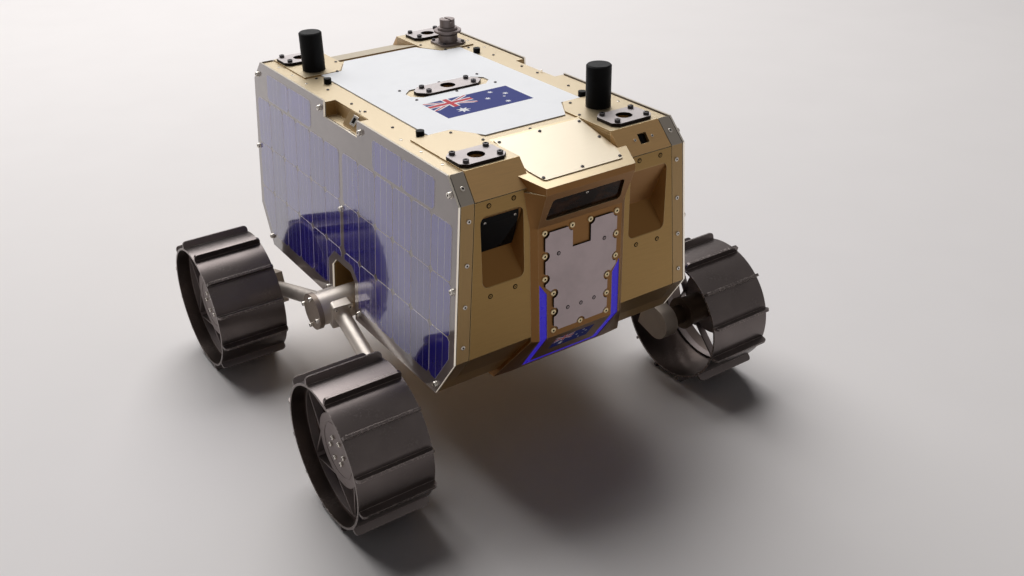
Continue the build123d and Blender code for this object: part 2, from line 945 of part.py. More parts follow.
def make_cells():
    """Thin pseudo-square cells on the +X panel's outer face."""
    region = cell_region()
    layer = side_layer(panel_gap + panel_thick, panel_gap + panel_thick + cell_thick)
    cells = []
    for y0, y1, z0, z1 in cell_rectangles():
        outline = [(y, z, 0) for y, z in cut_corners(y1 - y0, z1 - z0, cell_corner)]
        face = Pos((y0 + y1) / 2, (z0 + z1) / 2) * make_face(Polyline(outline, close=True))
        for piece in (face & region).faces():
            if piece.area < cell_least_area:
                continue
            cells.append(extrude(Plane.YZ * piece, amount=far, dir=(1, 0, 0)) & layer)
    return cells


def make_spacers():
    """Hexagonal spacers between the +X side and its panel."""
    layer = side_layer(0, panel_gap)
    places = [(end * y, z) for y, z in spacer_places for end in (-1, 1)]
    places.append((0, centre_spacer_z))
    bar = extrude(Plane.YZ * RegularPolygon(spacer_r, 6), amount=far)
    return [Pos(0, y, z) * bar & layer for y, z in places]


def make_side_sensor():
    """Leaning sensor bracket in the +X recess."""
    y = -recess_half_width + sensor_end_gap
    foot = recess_floor_x + sensor_foot
    outline = [
        (recess_floor_x, core_top_z + lid_thick),
        (recess_floor_x, recess_z),
        (foot, recess_z),
        (foot, recess_z + sensor_toe),
    ]
    return slab_xz(outline, y, y + sensor_length)


def arm_frame(end):
    """Plane at the pivot whose local X runs along the arm to an end's wheel, and its length."""
    along = Vector(arm_wheel_x - arm_pivot_x, end * wheel_y, wheel_z - pivot_z)
    length = along.length
    along = along.normalized()
    across = Vector(1, 0, 0) - along * along.X
    return Plane(origin=(arm_pivot_x, 0, pivot_z), x_dir=along, z_dir=across), length


def make_housing():
    """+X rocker housing with a clamp block towards each wheel."""
    housing = rod(housing_r, well_floor_x, housing_outer_x, 0, pivot_z)
    clamp = Pos(clamp_reach / 2, 0, 0) * Box(clamp_reach, clamp_height, clamp_width)
    clamp = fillet(clamp.edges().filter_by(Axis.X), clamp_corner_r)
    for end in (-1, 1):
        frame, _ = arm_frame(end)
        housing += frame * clamp
    return housing


def make_arm(end):
    """+X arm tube, from the clamp's face to the knuckle's back."""
    frame, length = arm_frame(end)
    tube = length - clamp_reach - knuckle_reach
    return frame * Pos(clamp_reach + tube / 2, 0, 0) * Rot(0, 90, 0) * Cylinder(arm_r, tube)


def make_knuckle(end):
    """+X knuckle: a round motor seat that runs back to a flat face for the arm."""
    seat = rod(knuckle_r, knuckle_inner_x, knuckle_outer_x, end * wheel_y, wheel_z)
    lift = pivot_z - wheel_z
    back_frame = Plane(
        origin=((knuckle_inner_x + knuckle_outer_x) / 2, end * wheel_y, wheel_z),
        x_dir=(0, -end * wheel_y, lift),
        z_dir=(1, 0, 0),
    )
    reach = knuckle_reach + knuckle_spare
    back = back_frame * Pos(reach / 2, 0, 0) * Box(reach, 2 * knuckle_r, knuckle_width)
    frame, length = arm_frame(end)
    past_arm = frame * Pos(length - knuckle_reach + far / 2, 0, 0) * Box(far, far, far)
    return (seat + back) & past_arm


def make_motor(end):
    """+X drive motor on its flange, with its neck in front and its stub axle."""
    y = end * wheel_y
    flange_x = knuckle_outer_x + motor_neck_length
    body_x = flange_x + motor_flange_thick
    face_x = hub_back_x - motor_gap
    motor = rod(motor_neck_r, knuckle_outer_x, flange_x, y, wheel_z)
    motor += rod(motor_flange_r, flange_x, body_x, y, wheel_z)
    motor += rod(motor_r, body_x, face_x, y, wheel_z)
    return motor + rod(axle_r, face_x, hub_face_x - hub_wall - axle_end_gap, y, wheel_z)


def make_drum():
    """Wheel drum round the X axis with straight lugs across it, inner face at x = 0."""
    drum = rod(drum_r, 0, wheel_width, 0, 0) - rod(drum_r - drum_wall, -1, wheel_width + 1, 0, 0)
    lug = slab_xz(lug_outline(), -lug_thick / 2, lug_thick / 2)
    for index in range(lug_count):
        drum += Rot((index + 0.5) * lug_pitch, 0, 0) * lug
    return drum


def lug_outline():
    """(x, radius) outline of one lug, whose outer corners are rounded in short flats."""
    half = wheel_width / 2 - lug_end_gap
    points = [(half, drum_r - lug_root)]
    for angle in lug_corner_angles:
        x = half - lug_corner_r * (1 - sin(radians(angle)))
        points.append((x, lug_tip_r - lug_corner_r * (1 - cos(radians(angle)))))
    return [(wheel_width / 2 + x, r) for x, r in both_halves(points)]


def make_hub():
    """Hub disc with its boss, and zigzag spokes out to the ring that seats in the drum."""
    face_x = wheel_width - hub_inset
    bore_r = axle_r + axle_clearance
    profile = [
        (face_x - boss_length, bore_r),
        (face_x - boss_length, boss_r),
        (face_x - hub_wall, boss_r),
        (face_x - hub_wall, hub_r),
        (face_x, hub_r),
        (face_x, 0),
        (face_x - hub_wall, 0),
        (face_x - hub_wall, bore_r),
    ]
    hub = revolve(make_face(Polyline([(x, 0, r) for x, r in profile], close=True)), axis=Axis.X)
    ring_r = drum_r - drum_wall - fit_gap
    back_x = face_x - spoke_depth
    hub += rod(ring_r, back_x, face_x, 0, 0) - rod(ring_r - ring_thick, back_x, face_x, 0, 0)
    for pair in range(spoke_pairs):
        apex = pair * 360 / spoke_pairs
        for lean in (-spoke_spread, spoke_spread):
            start = polar(hub_r - spoke_root_depth, apex)
            stop = polar(ring_r - ring_thick / 2, apex + lean)
            hub += bar_between(start, stop, back_x, face_x)
    return hub


def polar(r, angle):
    return (r * cos(radians(angle)), r * sin(radians(angle)))


def bar_between(start, stop, x0, x1):
    """Flat bar in the YZ plane between two points, from x0 to x1."""
    dy, dz = stop[0] - start[0], stop[1] - start[1]
    length = hypot(dy, dz)
    middle = ((x0 + x1) / 2, (start[0] + stop[0]) / 2, (start[1] + stop[1]) / 2)
    return Pos(*middle) * Rot(degrees(atan2(dz, dy)), 0, 0) * Box(x1 - x0, length, spoke_thick)


def at_corner(part, side, end):
    """A wheel piece, modelled from its inner face, at its corner of the vehicle."""
    placed = Pos(wheel_inner_x, end * wheel_y, wheel_z) * part
    return on_side(placed, side)


def save(name, *pieces):
    """Writes one node: a single solid, or several solids that don't touch."""
    solids = [solid for piece in pieces for solid in piece.solids()]
    export_step(solids[0] if len(solids) == 1 else Compound(children=solids), f"parts/{name}.step")


def build():
    os.makedirs("parts", exist_ok=True)
    save("chassis_core", make_core())
    save("deck", make_deck())
    save("corner_lids", *make_lids())
    save("radiator_panel", make_radiator())
    corner_plates = [make_mount_plate(plate_size, plate_corner, x, y, top_z) for x, y in plate_places()]
    save("corner_mount_plates", *corner_plates)
    centre = make_mount_plate(centre_plate_size, centre_plate_corner, 0, 0, deck_z)
    save("centre_mount_plate", centre)
    save("antenna_mast_rear_right", make_mast(-mast_x, mast_y))
    save("antenna_mast_front_left", make_mast(mast_x, -mast_y))
    save("connector_pillar", make_pillar(mast_x, mast_y))
    stud_rows = (stud_front_back - core_end_y, core_end_y - stud_rear_back)
    studs = [
        post(stud_r, side * stud_x, y, deck_z, deck_z + stud_height)
        for side in (-1, 1)
        for y in stud_rows
    ]
    save("deck_studs", *studs)

    save("front_rails", *both_sides(make_rail()))
    save("rear_rails", *[at_end(one, 1) for one in both_sides(make_rail())])
    for name, side in sides:
        save(f"front_cheek_{name}", on_side(make_cheek(), side))
    facet = make_facet()
    save("front_facets", facet - facet_socket(), mirror(facet, about=Plane.YZ))
    save("rear_facets", *[at_end(one, 1) for one in both_sides(facet)])
    save("facet_sensor", make_facet_sensor())
    save("camera_window", on_side(make_pocket_window(), -1))
    save("nose", make_nose())
    save("hood_cover", make_cover())
    save("hood_window", make_window())
    save("nose_plate", make_nose_plate())
    save("light_strip", strip_band(strip_recess, strip_depth))
    save("rear_block", make_rear_block())
    save("rear_ramp", make_rear_ramp())

    for name, side in sides:
        save(f"solar_panel_{name}", on_side(make_panel(), side))
        save(f"solar_cells_{name}", *[on_side(cell, side) for cell in make_cells()])
        save(f"panel_spacers_{name}", *[on_side(one, side) for one in make_spacers()])
        save(f"side_sensor_{name}", on_side(make_side_sensor(), side))
        save(f"rocker_housing_{name}", on_side(make_housing(), side))
        cap = rod(cap_r, housing_outer_x, housing_outer_x + cap_thick, 0, pivot_z)
        save(f"housing_cap_{name}", on_side(cap, side))
        save(f"rocker_arms_{name}", *[on_side(make_arm(end), side) for end in (-1, 1)])
        save(f"knuckles_{name}", *[on_side(make_knuckle(end), side) for end in (-1, 1)])
        save(f"drive_motors_{name}", *[on_side(make_motor(end), side) for end in (-1, 1)])

    drum = make_drum()
    hub = make_hub()
    for name, side, end in corners:
        save(f"wheel_{name}", at_corner(drum, side, end))
        save(f"wheel_hub_{name}", at_corner(hub, side, end))


build()
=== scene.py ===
import json
from math import cos, hypot, pi, radians, sin

import bmesh
import bpy
from mathutils import Matrix, Vector


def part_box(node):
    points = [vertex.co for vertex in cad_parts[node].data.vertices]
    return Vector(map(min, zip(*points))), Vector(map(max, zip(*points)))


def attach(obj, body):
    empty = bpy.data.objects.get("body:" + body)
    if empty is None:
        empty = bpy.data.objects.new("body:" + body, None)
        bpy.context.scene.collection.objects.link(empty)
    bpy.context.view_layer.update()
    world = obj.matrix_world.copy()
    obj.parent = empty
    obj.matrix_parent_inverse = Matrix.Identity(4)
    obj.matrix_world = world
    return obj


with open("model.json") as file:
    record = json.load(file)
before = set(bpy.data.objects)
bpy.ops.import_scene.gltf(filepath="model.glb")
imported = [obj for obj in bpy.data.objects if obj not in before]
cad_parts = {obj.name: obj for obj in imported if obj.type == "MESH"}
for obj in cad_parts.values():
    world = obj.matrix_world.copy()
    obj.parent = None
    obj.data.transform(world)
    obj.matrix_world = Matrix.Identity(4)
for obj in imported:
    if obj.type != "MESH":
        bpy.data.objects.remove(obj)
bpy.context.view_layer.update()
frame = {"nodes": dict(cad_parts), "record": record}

bl_info = {
    "name": "Planetary rover looks",
    "version": (1, 0, 0),
    "blender": (4, 5, 0),
    "location": "View3D > Sidebar > Rover",
    "description": "Finishes, small fasteners, decals and studio for the planetary rover prototype",
    "category": "Object",
}

MM = 0.001
ENDS = (-1, 1)
SIDES = {"right": -1, "left": 1}
CORNERS = ("front_right", "front_left", "rear_right", "rear_left")

# Levels and faces of the body, read from the CAD model, in millimetres
LID_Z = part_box("corner_lids")[1].z / MM
DECK_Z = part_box("deck")[1].z / MM
RADIATOR_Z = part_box("radiator_panel")[1].z / MM
PLATE_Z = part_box("corner_mount_plates")[1].z / MM
CENTRE_PLATE_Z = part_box("centre_mount_plate")[1].z / MM
HALF_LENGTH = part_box("solar_panel_left")[1].y / MM
NOSE_FACE_Y = -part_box("nose_plate")[1].y / MM
NOSE_PLATE_Y = -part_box("nose_plate")[0].y / MM

# Shapes of the CAD model that no box gives, in millimetres
TOP_HALF_WIDTH = 151.6
SIDE_SPLAY = 0.085  # run outwards for each millimetre down
PANEL_FACE = 3.4  # from the body's side out to the panels' face
CHAMFER = (24.0, 27.5)  # run and fall of the slope above each end face
POCKET_Z = (286.0, 374.6)
HOOD_START_Y = 195.0
HOOD_SLOPE = 0.212  # fall for each millimetre forwards
COVER_THICK = 1.2
PLATE_HALF = (30.0, 20.5)  # half of a corner plate's length and width
PILLAR_FLANGE = 3.0
ARM_TOP = (189.97, 157.998)  # X and Z of the arms' upper end
ARM_FOOT_X = 202.97
SENSOR_TOE = 2.5  # upright toe of the side brackets, below their slope
CAMERA_WINDOW_THICK = 2.5
HOOD_WINDOW_THICK = 2.0
KEEL_TOP_Z = 195.5

# How far the normal of each leaning face goes forwards and down
CAMERA_WINDOW_LEAN = (65.2, 23.0)
HOOD_WINDOW_LEAN = (46.5, 18.7)
KEEL_LEAN = (58.5, 42.0)

# Radii between which dust gathers on the lugs and the painted shade inside the drum begins, and how far
# in from the rims' edges dust gathers
LUG_DUST = (96.5, 98.8)
DRUM_INSIDE = (88.8, 88.0)
RIM_DUST = (1.6, 0.2)

# Solar cells: the first one's edge, their pitch, and the places and width of the silver lines on each
FIRST_CELL = 5.0
CELL_PITCH = 44.3
SILVER_LINES = (14.4, 28.7)
SILVER_WIDTH = 0.9

# Lowest and highest roughness of the gold film: brushed, rubbed to a satin, and blasted
BRUSHED = (0.33, 0.4)
SATIN = (0.46, 0.54)
BLASTED = (0.7, 0.8)

# Finish of each material slot, and of the pieces that have one of their own
SLOT_FINISHES = {
    "gold_anodised": "gold_brushed_across",
    "white_radiator": "white_thermal_paint",
    "grey_anodised": "grey_anodised_plate",
    "black_anodised": "black_oxide_steel",
    "black_polymer": "black_acetal_turned",
    "bare_metal": "satin_clear_anodised",
    "panel_board": "laminated_panel_board",
    "solar_cell": "silicon_cells_under_glass",
    "light_strip": "silicone_light_diffuser",
    "dark_glass": "coated_dark_glass",
}
OWN_FINISHES = {
    "deck": "gold_brushed_along",
    "chassis_core": "gold_brushed_along",
    "corner_lids": "gold_satin_lids",
    "front_rails": "gold_with_worn_slope",
    "rear_rails": "gold_with_worn_slope",
    "front_facets": "gold_brushed_facets",
    "rear_facets": "gold_brushed_facets",
    "rear_ramp": "gold_blasted_ramp",
    "nose": "gold_brushed_nose",
    "nose_plate": "lilac_anodised_plate",
    "hood_cover": "gold_cover_painted_top_light",
    "hood_window": "amber_tinted_glass",
    "connector_pillar": "grey_anodised_pillar",
}
for side_name in SIDES:
    OWN_FINISHES[f"front_cheek_{side_name}"] = "gold_with_painted_pocket_shade"
    OWN_FINISHES[f"housing_cap_{side_name}"] = "grey_brown_shaded_aluminium"
    OWN_FINISHES[f"knuckles_{side_name}"] = "brown_shaded_aluminium"
    OWN_FINISHES[f"drive_motors_{side_name}"] = "dark_bronze_aluminium"
for corner_name in CORNERS:
    OWN_FINISHES[f"wheel_{corner_name}"] = f"wheel_metal_{corner_name}"
    OWN_FINISHES[f"wheel_hub_{corner_name}"] = "grey_hard_anodised"

# Screws on top as (x, y) in millimetres, mirrored to both sides and ends. Those of a plate or the pillar
# are taken from its middle, and the lone one isn't mirrored
PLATE_BOLT = (21.75, 14.25)
CENTRE_PLATE_BOLT = (33.5, 9.5)
PILLAR_BOLT = (15.5, 15.5)
RADIATOR_SCREWS = ((59, 22.5), (0, 22.5))
DECK_SCREWS = ((129, 88.5), (129.5, 18.5), (120.5, 142))
LONE_DECK_SCREW = (-2.6, -189.5)
LID_SCREWS = ((86, 149.5), (68.5, 191))
DECK_EDGE_SCREWS = ((140.5, 130), (140.5, 176), (140.5, 222.5))

# Rail screws as their height and the distance in from the rail's outer edge, on the end faces and, below
# the lid, on the slope above them
RAIL_SCREWS = ((373.5, 9.8), (322.4, 9.3), (272.6, 8.6), (222.2, 7.8))
SLOPE_SCREW = (14, 8.5)

# Screws on the front as (x, z); those of the cheeks and the nose are mirrored to both sides
CHEEK_SCREWS = ((119.9, 384.8), (88, 385.5), (121.8, 275.3), (88.5, 277))
NOSE_SCREWS = (
    (13, 334.5),
    (51.5, 334.5),
    (51.5, 305.5),
    (51.5, 276.5),
    (39.5, 254.5),
    (39.5, 229.5),
    (39.5, 204.5),
)
LOWEST_NOSE_SCREW = (0, 204.5)
NOSE_PLATE_SCREWS = ((33, 305), (-33, 305), (19.5, 230), (-19.5, 230), (0, 229.5))

# Screws of the hood's cover, as x and the distance in front of the body's middle
COVER_SCREWS = (
    (0, 286),
    (53, 286),
    (-53, 286),
    (57, 243.5),
    (-57, 243.5),
    (0, 205),
    (56.5, 206),
    (-56.5, 206),
)

# Screws of the facet's sensor, the camera window and the hood window, as the distance across, across
# and up, and up from the middle of each
FACET_SENSOR_SCREWS = (-13, 13)
CAMERA_SCREWS = ((-19.5, -20.0), (-19.5, 19.0), (19.5, -20.0), (19.5, 19.0))
HOOD_WINDOW_SCREW_UP = 9.0

# Screws of the side panels as (y, z), mirrored to both ends, and the one above the rocker
PANEL_SCREWS = ((264.5, 401.5), (274.5, 293.0), (243, 160), (57, 408.5), (46, 160.5))
MIDDLE_PANEL_SCREW = (0, 291)

# Circles of screws on the rockers, as radius and first angle in degrees, and the clamps' screws as their
# distance along the arm, above it and to its sides
CAP_CIRCLE = (21, 100)
KNUCKLE_CIRCLE = (18.5, 45)
CLAMP_ALONG = 24.0
CLAMP_RISE = 14.0
CLAMP_SPREAD = 9.5


def linear(hex_colour):
    """An sRGB hex colour as linear red, green, blue and alpha."""
    values = [int(hex_colour[start : start + 2], 16) / 255 for start in (1, 3, 5)]
    return (*(v / 12.92 if v <= 0.04045 else ((v + 0.055) / 1.055) ** 2.4 for v in values), 1.0)


def colour(name, description, hex_colour):
    """A colour that a user can change, with its default as sRGB hex."""
    return bpy.props.FloatVectorProperty(
        name=name,
        description=description,
        subtype="COLOR",
        size=4,
        min=0,
        max=1,
        default=linear(hex_colour),
    )


def length(name, description, millimetres):
    """A length that a user can change, with its default in millimetres."""
    return bpy.props.FloatProperty(
        name=name,
        description=description,
        subtype="DISTANCE",
        unit="LENGTH",
        default=millimetres * MM,
        precision=4,
    )


class RoverFinishSettings(bpy.types.PropertyGroup):
    """Colours and grain sizes of the finishes."""

    gold: colour("Gold", "Anodised aluminium of the body", "#ae8d58")
    # Also the whole tone of the cheeks and rails: there a darker copy of the body's gold, painted shade
    gold_dark: colour("Gold in the grain", "Darker lines of the brushing", "#a2814a")
    # Painted light: a paler copy of the body's gold on the slanted facets
    gold_facet: colour("Gold on the facets", "Paler film on the slanted facets", "#cda468")
    # Painted light: the pale cream that gold faces take where they look up at the lamp
    gold_top_light: colour("Gold on top", "Film bleached pale where it faces the sky", "#b09f80")
    # Painted light: the near-white cream that the hood cover and the ramp take where they look up
    gold_cover_top_light: colour("Gold of the cover", "Nearly bare film on top of the hood", "#bdb19b")
    # Pale gold of machined edges: partly thin film and partly painted highlight
    gold_edge: colour("Gold edges", "Thin film on machined edges", "#ecd9ae")
    # Painted shade: a darker, deeper copy of the body's gold on the nose and hood
    gold_nose: colour("Gold of the nose", "Deeper film on the nose and hood", "#8b602b")
    # Painted shade: the darker gold inside the camera pockets
    gold_pocket_shade: colour("Gold in the pockets", "Unbrushed film in the milled camera pockets", "#855c26")
    worn_edge: colour("Worn film", "Grey metal where the rails' upper slopes are worn", "#a2998c")
    brush_line: length("Brushing line", "Width of one line of the brushing", 0.6)
    brush_length: length("Brushing length", "Length of one line of the brushing", 22)
    radiator: colour("Radiator paint", "White thermal paint on the deck", "#fafafc")
    plate_grey: colour("Plate grey", "Bead-blasted grey anodised plates", "#aea7a6")
    # Painted shade: the dark tone of the plates' sides
    plate_side_shade: colour("Plate sides", "Sawn sides of the plates, dark with oil", "#2e2622")
    plate_lilac: colour("Nose plate", "Lilac-grey anodised nose plate", "#cdbebf")
    black: colour("Black polymer", "Masts and studs", "#070709")
    black_oxide: colour("Black oxide", "Socket screws on the plates", "#4b484a")
    steel: colour("Stainless steel", "Bright screws", "#e2dcd3")
    wheel: colour("Wheel metal", "Hard anodised wheels", "#736b69")
    # Painted shade: the darker tone inside the drums
    wheel_inside_shade: colour("Inside of the wheels", "Unworn dark film inside the drums", "#6a5f5a")
    hub: colour("Hub metal", "Grey anodised hubs and spokes", "#877d7b")
    wheel_dust: colour("Wheel dust", "Fine sand on the lugs", "#b5aaa4")
    arm: colour("Satin aluminium", "Arms and rocker housings", "#d6cdc4")
    # Painted shade: the housing caps take a grey-brown, darker copy of the satin aluminium
    arm_cap: colour("Caps", "Grey-brown anodised housing caps", "#9a8d82")
    # Painted shade: the knuckles take a brown, darker copy of the satin aluminium
    knuckle: colour("Knuckles", "Brown anodised knuckles", "#aea296")
    # A dark bronze tone for the drive motors, darker than the arms' satin aluminium
    motor: colour("Motors", "Dark bronze anodised drive motors", "#5a4c3f")
    board: colour("Panel board", "Board between the cells", "#998a86")
    # Pale cut edges of the panels and cells, and the colour of the panels' painted edge glow
    board_edge_and_glow: colour("Panel edge", "Polished edges of the panels", "#efe3d2")
    cell: colour("Solar cell", "Blue-violet silicon", "#2a2296")
    cell_light: colour("Solar cell, light", "Lighter cells of a lot", "#3a30b0")
    # Also the colour of the painted pale rims and glow of the cells' edges
    busbar_and_edge_light: colour("Busbar", "Printed silver lines on the cells", "#aaa4bd")
    strip: colour("Light strip", "Diffuser of the light strip", "#4632f2")
    strip_edge: colour("Light strip edge", "Where the diffuser is thin", "#8f7ff0")
    glass: colour("Dark window", "Coated glass over the cameras", "#070505")
    glass_amber: colour("Hood window", "Amber-tinted glass under the hood", "#1d0f08")
    decal_blue: colour("Decal blue", "Field of the flag decals", "#222f7d")
    decal_red: colour("Decal red", "Crosses of the flag decals", "#c63a45")
    decal_white: colour("Decal white", "Stars and crosses of the flag decals", "#ececf0")


class RoverHardwareSettings(bpy.types.PropertyGroup):
    """Sizes of the small fasteners."""

    cap_head: length("Cap screw head", "Radius of an M4 cap screw's head", 3.5)
    cap_height: length("Cap screw height", "Height of an M4 cap screw's head", 3.6)
    button_head: length("Button screw head", "Radius of a button screw's head", 2.8)
    small_head: length("Small screw head", "Radius of the small deck screws", 1.9)
    panel_head: length("Panel screw head", "Radius of the screws that hold the panels", 3.5)
    panel_height: length("Panel screw height", "Height of the screws that hold the panels", 4.0)
    nose_head: length("Nose screw head", "Radius of the low heads round the nose plate", 3.6)
    hub_circle: length("Hub circle", "Radius of the circle of hub screws", 16.5)
    hub_ring: length("Hub ring", "Radius of the turned ring on a hub", 35.0)


class RoverDecalSettings(bpy.types.PropertyGroup):
    """Sizes of the flag decals."""

    deck_width: length("Deck flag width", "Width of the flag on the radiator", 124)
    deck_height: length("Deck flag height", "Height of the flag on the radiator", 63)
    nose_width: length("Nose flag width", "Width of the flag under the nose plate", 58)
    nose_height: length("Nose flag height", "Height of the flag under the nose plate", 29)
    film: length("Film", "Thickness of a printed layer", 0.05)


class RoverStageSettings(bpy.types.PropertyGroup):
    """Floor, lamps and camera."""

    floor: colour("Floor", "Pale plain floor", "#f0ebe9")
    backdrop: colour("Backdrop", "Pale surroundings as they are seen and mirrored", "#928f8e")
    fill: colour("Fill light", "Colour and level of the light from all round", "#313133")
    key_power: bpy.props.FloatProperty(
        name="Key power", description="Power of the large soft lamp behind", unit="POWER", default=308
    )
    front_power: bpy.props.FloatProperty(
        name="Front power", description="Power of the weak soft lamp in front", unit="POWER", default=1
    )
    camera_place: bpy.props.FloatVectorProperty(
        name="Camera place",
        description="Place of the camera at the photograph's view",
        subtype="TRANSLATION",
        unit="LENGTH",
        default=(-0.64378, -1.10935, 0.82992),
    )
    camera_turn: bpy.props.FloatVectorProperty(
        name="Camera turn",
        description="Heading, pitch and roll of the camera",
        unit="ROTATION",
        default=(-0.586348, -0.507313, -0.0221078),
    )
    camera_lens: bpy.props.FloatProperty(
        name="Lens", description="Focal length on a 36 mm frame, in millimetres", default=35.68
    )


# Materials


def set_inputs(tree, node, inputs):
    """Gives a node's sockets their values or links, by name or number."""
    for key, value in inputs.items():
        if isinstance(value, bpy.types.NodeSocket):
            tree.links.new(value, node.inputs[key])
        else:
            node.inputs[key].default_value = value


def add_node(tree, kind, inputs, **settings):
    """Adds a shader node with its settings, values and links."""
    made = tree.nodes.new("ShaderNode" + kind)
    for name, value in settings.items():
        setattr(made, name, value)
    set_inputs(tree, made, inputs)
    return made


def new_material(name):
    """Adds a material and gives its nodes."""
    material = bpy.data.materials.new(name)
    material.use_nodes = True
    return material.node_tree


def set_shader(tree, inputs):
    """Gives the material's shader its values and links."""
    set_inputs(tree, tree.nodes["Principled BSDF"], inputs)


def toned(tone, factor, lift=0.0):
    """A darker or paler copy of a linear colour."""
    return [min(1, factor * part + lift) for part in tone[:3]] + [1.0]


def grain(tree, size, detail=3.0, centre=(0, 0, 0)):
    """Noise on Object coordinates. The size is one grain in millimetres, the same all round or one number
    each for X, Y and Z."""
    sizes = size if isinstance(size, tuple) else (size, size, size)
    place = add_node(tree, "TexCoord", {})
    spread = {
        "Vector": place.outputs["Object"],
        "Location": [c * MM for c in centre],
        "Scale": [s * MM for s in sizes],
    }
    mapped = add_node(tree, "Mapping", spread, vector_type="TEXTURE")
    noise = add_node(tree, "TexNoise", {"Vector": mapped.outputs[0], "Scale": 1.0, "Detail": detail})
    return noise.outputs[0]


def ranged(tree, value, low, high, start=0.0, stop=1.0):
    """A value from low..high spread over start..stop, held at both ends."""
    spread = {"Value": value, "From Min": low, "From Max": high, "To Min": start, "To Max": stop}
    return add_node(tree, "MapRange", spread).outputs[0]


def mixed(tree, factor, first, second):
    """Colour between two, by a factor."""
    return add_node(tree, "Mix", {0: factor, 6: first, 7: second}, data_type="RGBA").outputs[2]


def computed(tree, operation, first, second=0.0):
    """Result of a mathematical operation on one or two values."""
    return add_node(tree, "Math", {0: first, 1: second}, operation=operation).outputs[0]


def edges(tree, radius):
    """Mask of the piece's sharp edges, and the normal that rounds them off by a radius in millimetres."""
    rounded = add_node(tree, "Bevel", {"Radius": radius * MM}, samples=4).outputs[0]
    surface = add_node(tree, "NewGeometry", {})
    both = {0: rounded, 1: surface.outputs["Normal"]}
    turn = add_node(tree, "VectorMath", both, operation="DOT_PRODUCT")
    return ranged(tree, turn.outputs["Value"], 0.985, 0.85), rounded


def bumped(tree, height, depth, strength=1.0, normal=None):
    """Normal with a relief of a depth in millimetres."""
    inputs = {"Height": height, "Distance": depth * MM, "Strength": strength}
    if normal is not None:
        inputs["Normal"] = normal
    return add_node(tree, "Bump", inputs).outputs[0]


def facing_part(tree, axis):
    """How far the surface faces along an axis, from -1 to 1."""
    surface = add_node(tree, "NewGeometry", {})
    return add_node(tree, "SeparateXYZ", {"Vector": surface.outputs["Normal"]}).outputs[axis]


def cut_sides(tree, axis):
    """1 on the cut sides of a sheet that lies across an axis, and 0 on its two faces."""
    return ranged(tree, computed(tree, "ABSOLUTE", facing_part(tree, axis)), 0.6, 0.4)


def place_along(tree, axis):
    """Place along an axis, in metres."""
    place = add_node(tree, "TexCoord", {})
    return add_node(tree, "SeparateXYZ", {"Vector": place.outputs["Object"]}).outputs[axis]


def distance_from(tree, axis, centre=0.0):
    """Distance in metres from a centre, in millimetres, along one axis."""
    return computed(tree, "ABSOLUTE", computed(tree, "SUBTRACT", place_along(tree, axis), centre * MM))


def within(tree, axis, low, high):
    """1 between two places along an axis, in millimetres, and 0 outside them."""
    value = place_along(tree, axis)
    above = computed(tree, "GREATER_THAN", value, low * MM)
    return computed(tree, "MULTIPLY", above, computed(tree, "LESS_THAN", value, high * MM))


def painted_over(tree, mask, tone):
    """Lays another tone over a material's colour where the mask is 1."""
    under = tree.nodes["Principled BSDF"].inputs["Base Color"].links[0].from_socket
    set_shader(tree, {"Base Color": mixed(tree, mask, under, tone)})


def plated_metal(name, tone, smooth, dull):
    """Turned steel or aluminium with an even finish: bright or dark as its tone, with fine turning marks
    that spread the highlight."""
    tree = new_material(name)
    marks = grain(tree, 1.1)
    tint = ranged(tree, grain(tree, 14, 2.0), 0.35, 0.75, 0, 0.6)
    inputs = {
        "Base Color": mixed(tree, tint, tone, toned(tone, 0.78)),
        "Metallic": 1.0,
        "Roughness": ranged(tree, marks, 0.3, 0.7, smooth, dull),
        "Normal": bumped(tree, marks, 0.01, 0.4),
    }
    set_shader(tree, inputs)


def satin_aluminium(name, tone):
    """Machined and anodised aluminium: a satin with fine tool lines and a broad soft highlight, a little
    darker in patches, and painted paler on its edges, partly edge wear and partly painted highlight."""
    tree = new_material(name)
    lines = grain(tree, (1.1, 34, 1.1), 4.0)
    patches = ranged(tree, grain(tree, 26), 0.4, 0.8, 0, 0.6)
    edge_wear_and_highlight, rounded = edges(tree, 0.6)
    body = mixed(tree, patches, tone, toned(tone, 0.78))
    inputs = {
        # Edges painted paler: partly edge wear and partly painted highlight
        "Base Color": mixed(tree, computed(tree, "MULTIPLY", edge_wear_and_highlight, 0.7), body, toned(tone, 1.2)),
        "Metallic": 1.0,
        "Roughness": ranged(tree, lines, 0.3, 0.7, 0.46, 0.56),
        "Normal": bumped(tree, lines, 0.01, 0.4, rounded),
    }
    set_shader(tree, inputs)


def dark_window(name, tone, smeared):
    """Coated optical glass over a black baffle: nearly black, with sharp reflections and the faintest
    smears in a slightly lighter tone."""
    tree = new_material(name)
    smear = grain(tree, (16, 5, 16), 4.0)
    inputs = {
        "Base Color": mixed(tree, ranged(tree, smear, 0.45, 0.8), tone, smeared),
        "Roughness": ranged(tree, smear, 0.35, 0.8, 0.06, 0.16),
        "IOR": 1.52,
        "Specular IOR Level": 0.08,
    }
    set_shader(tree, inputs)


def decal_ink(name, tone):
    """Screen ink on a clear film: an even colour with a slight grain and the gloss of the film."""
    tree = new_material(name)
    speck = grain(tree, 0.8, 2.0)
    inputs = {
        "Base Color": mixed(tree, ranged(tree, speck, 0.45, 0.7, 0, 0.6), tone, toned(tone, 1.12, 0.01)),
        "Roughness": ranged(tree, speck, 0.3, 0.7, 0.5, 0.6),
        "IOR": 1.5,
        "Specular IOR Level": 0.15,
    }
    set_shader(tree, inputs)


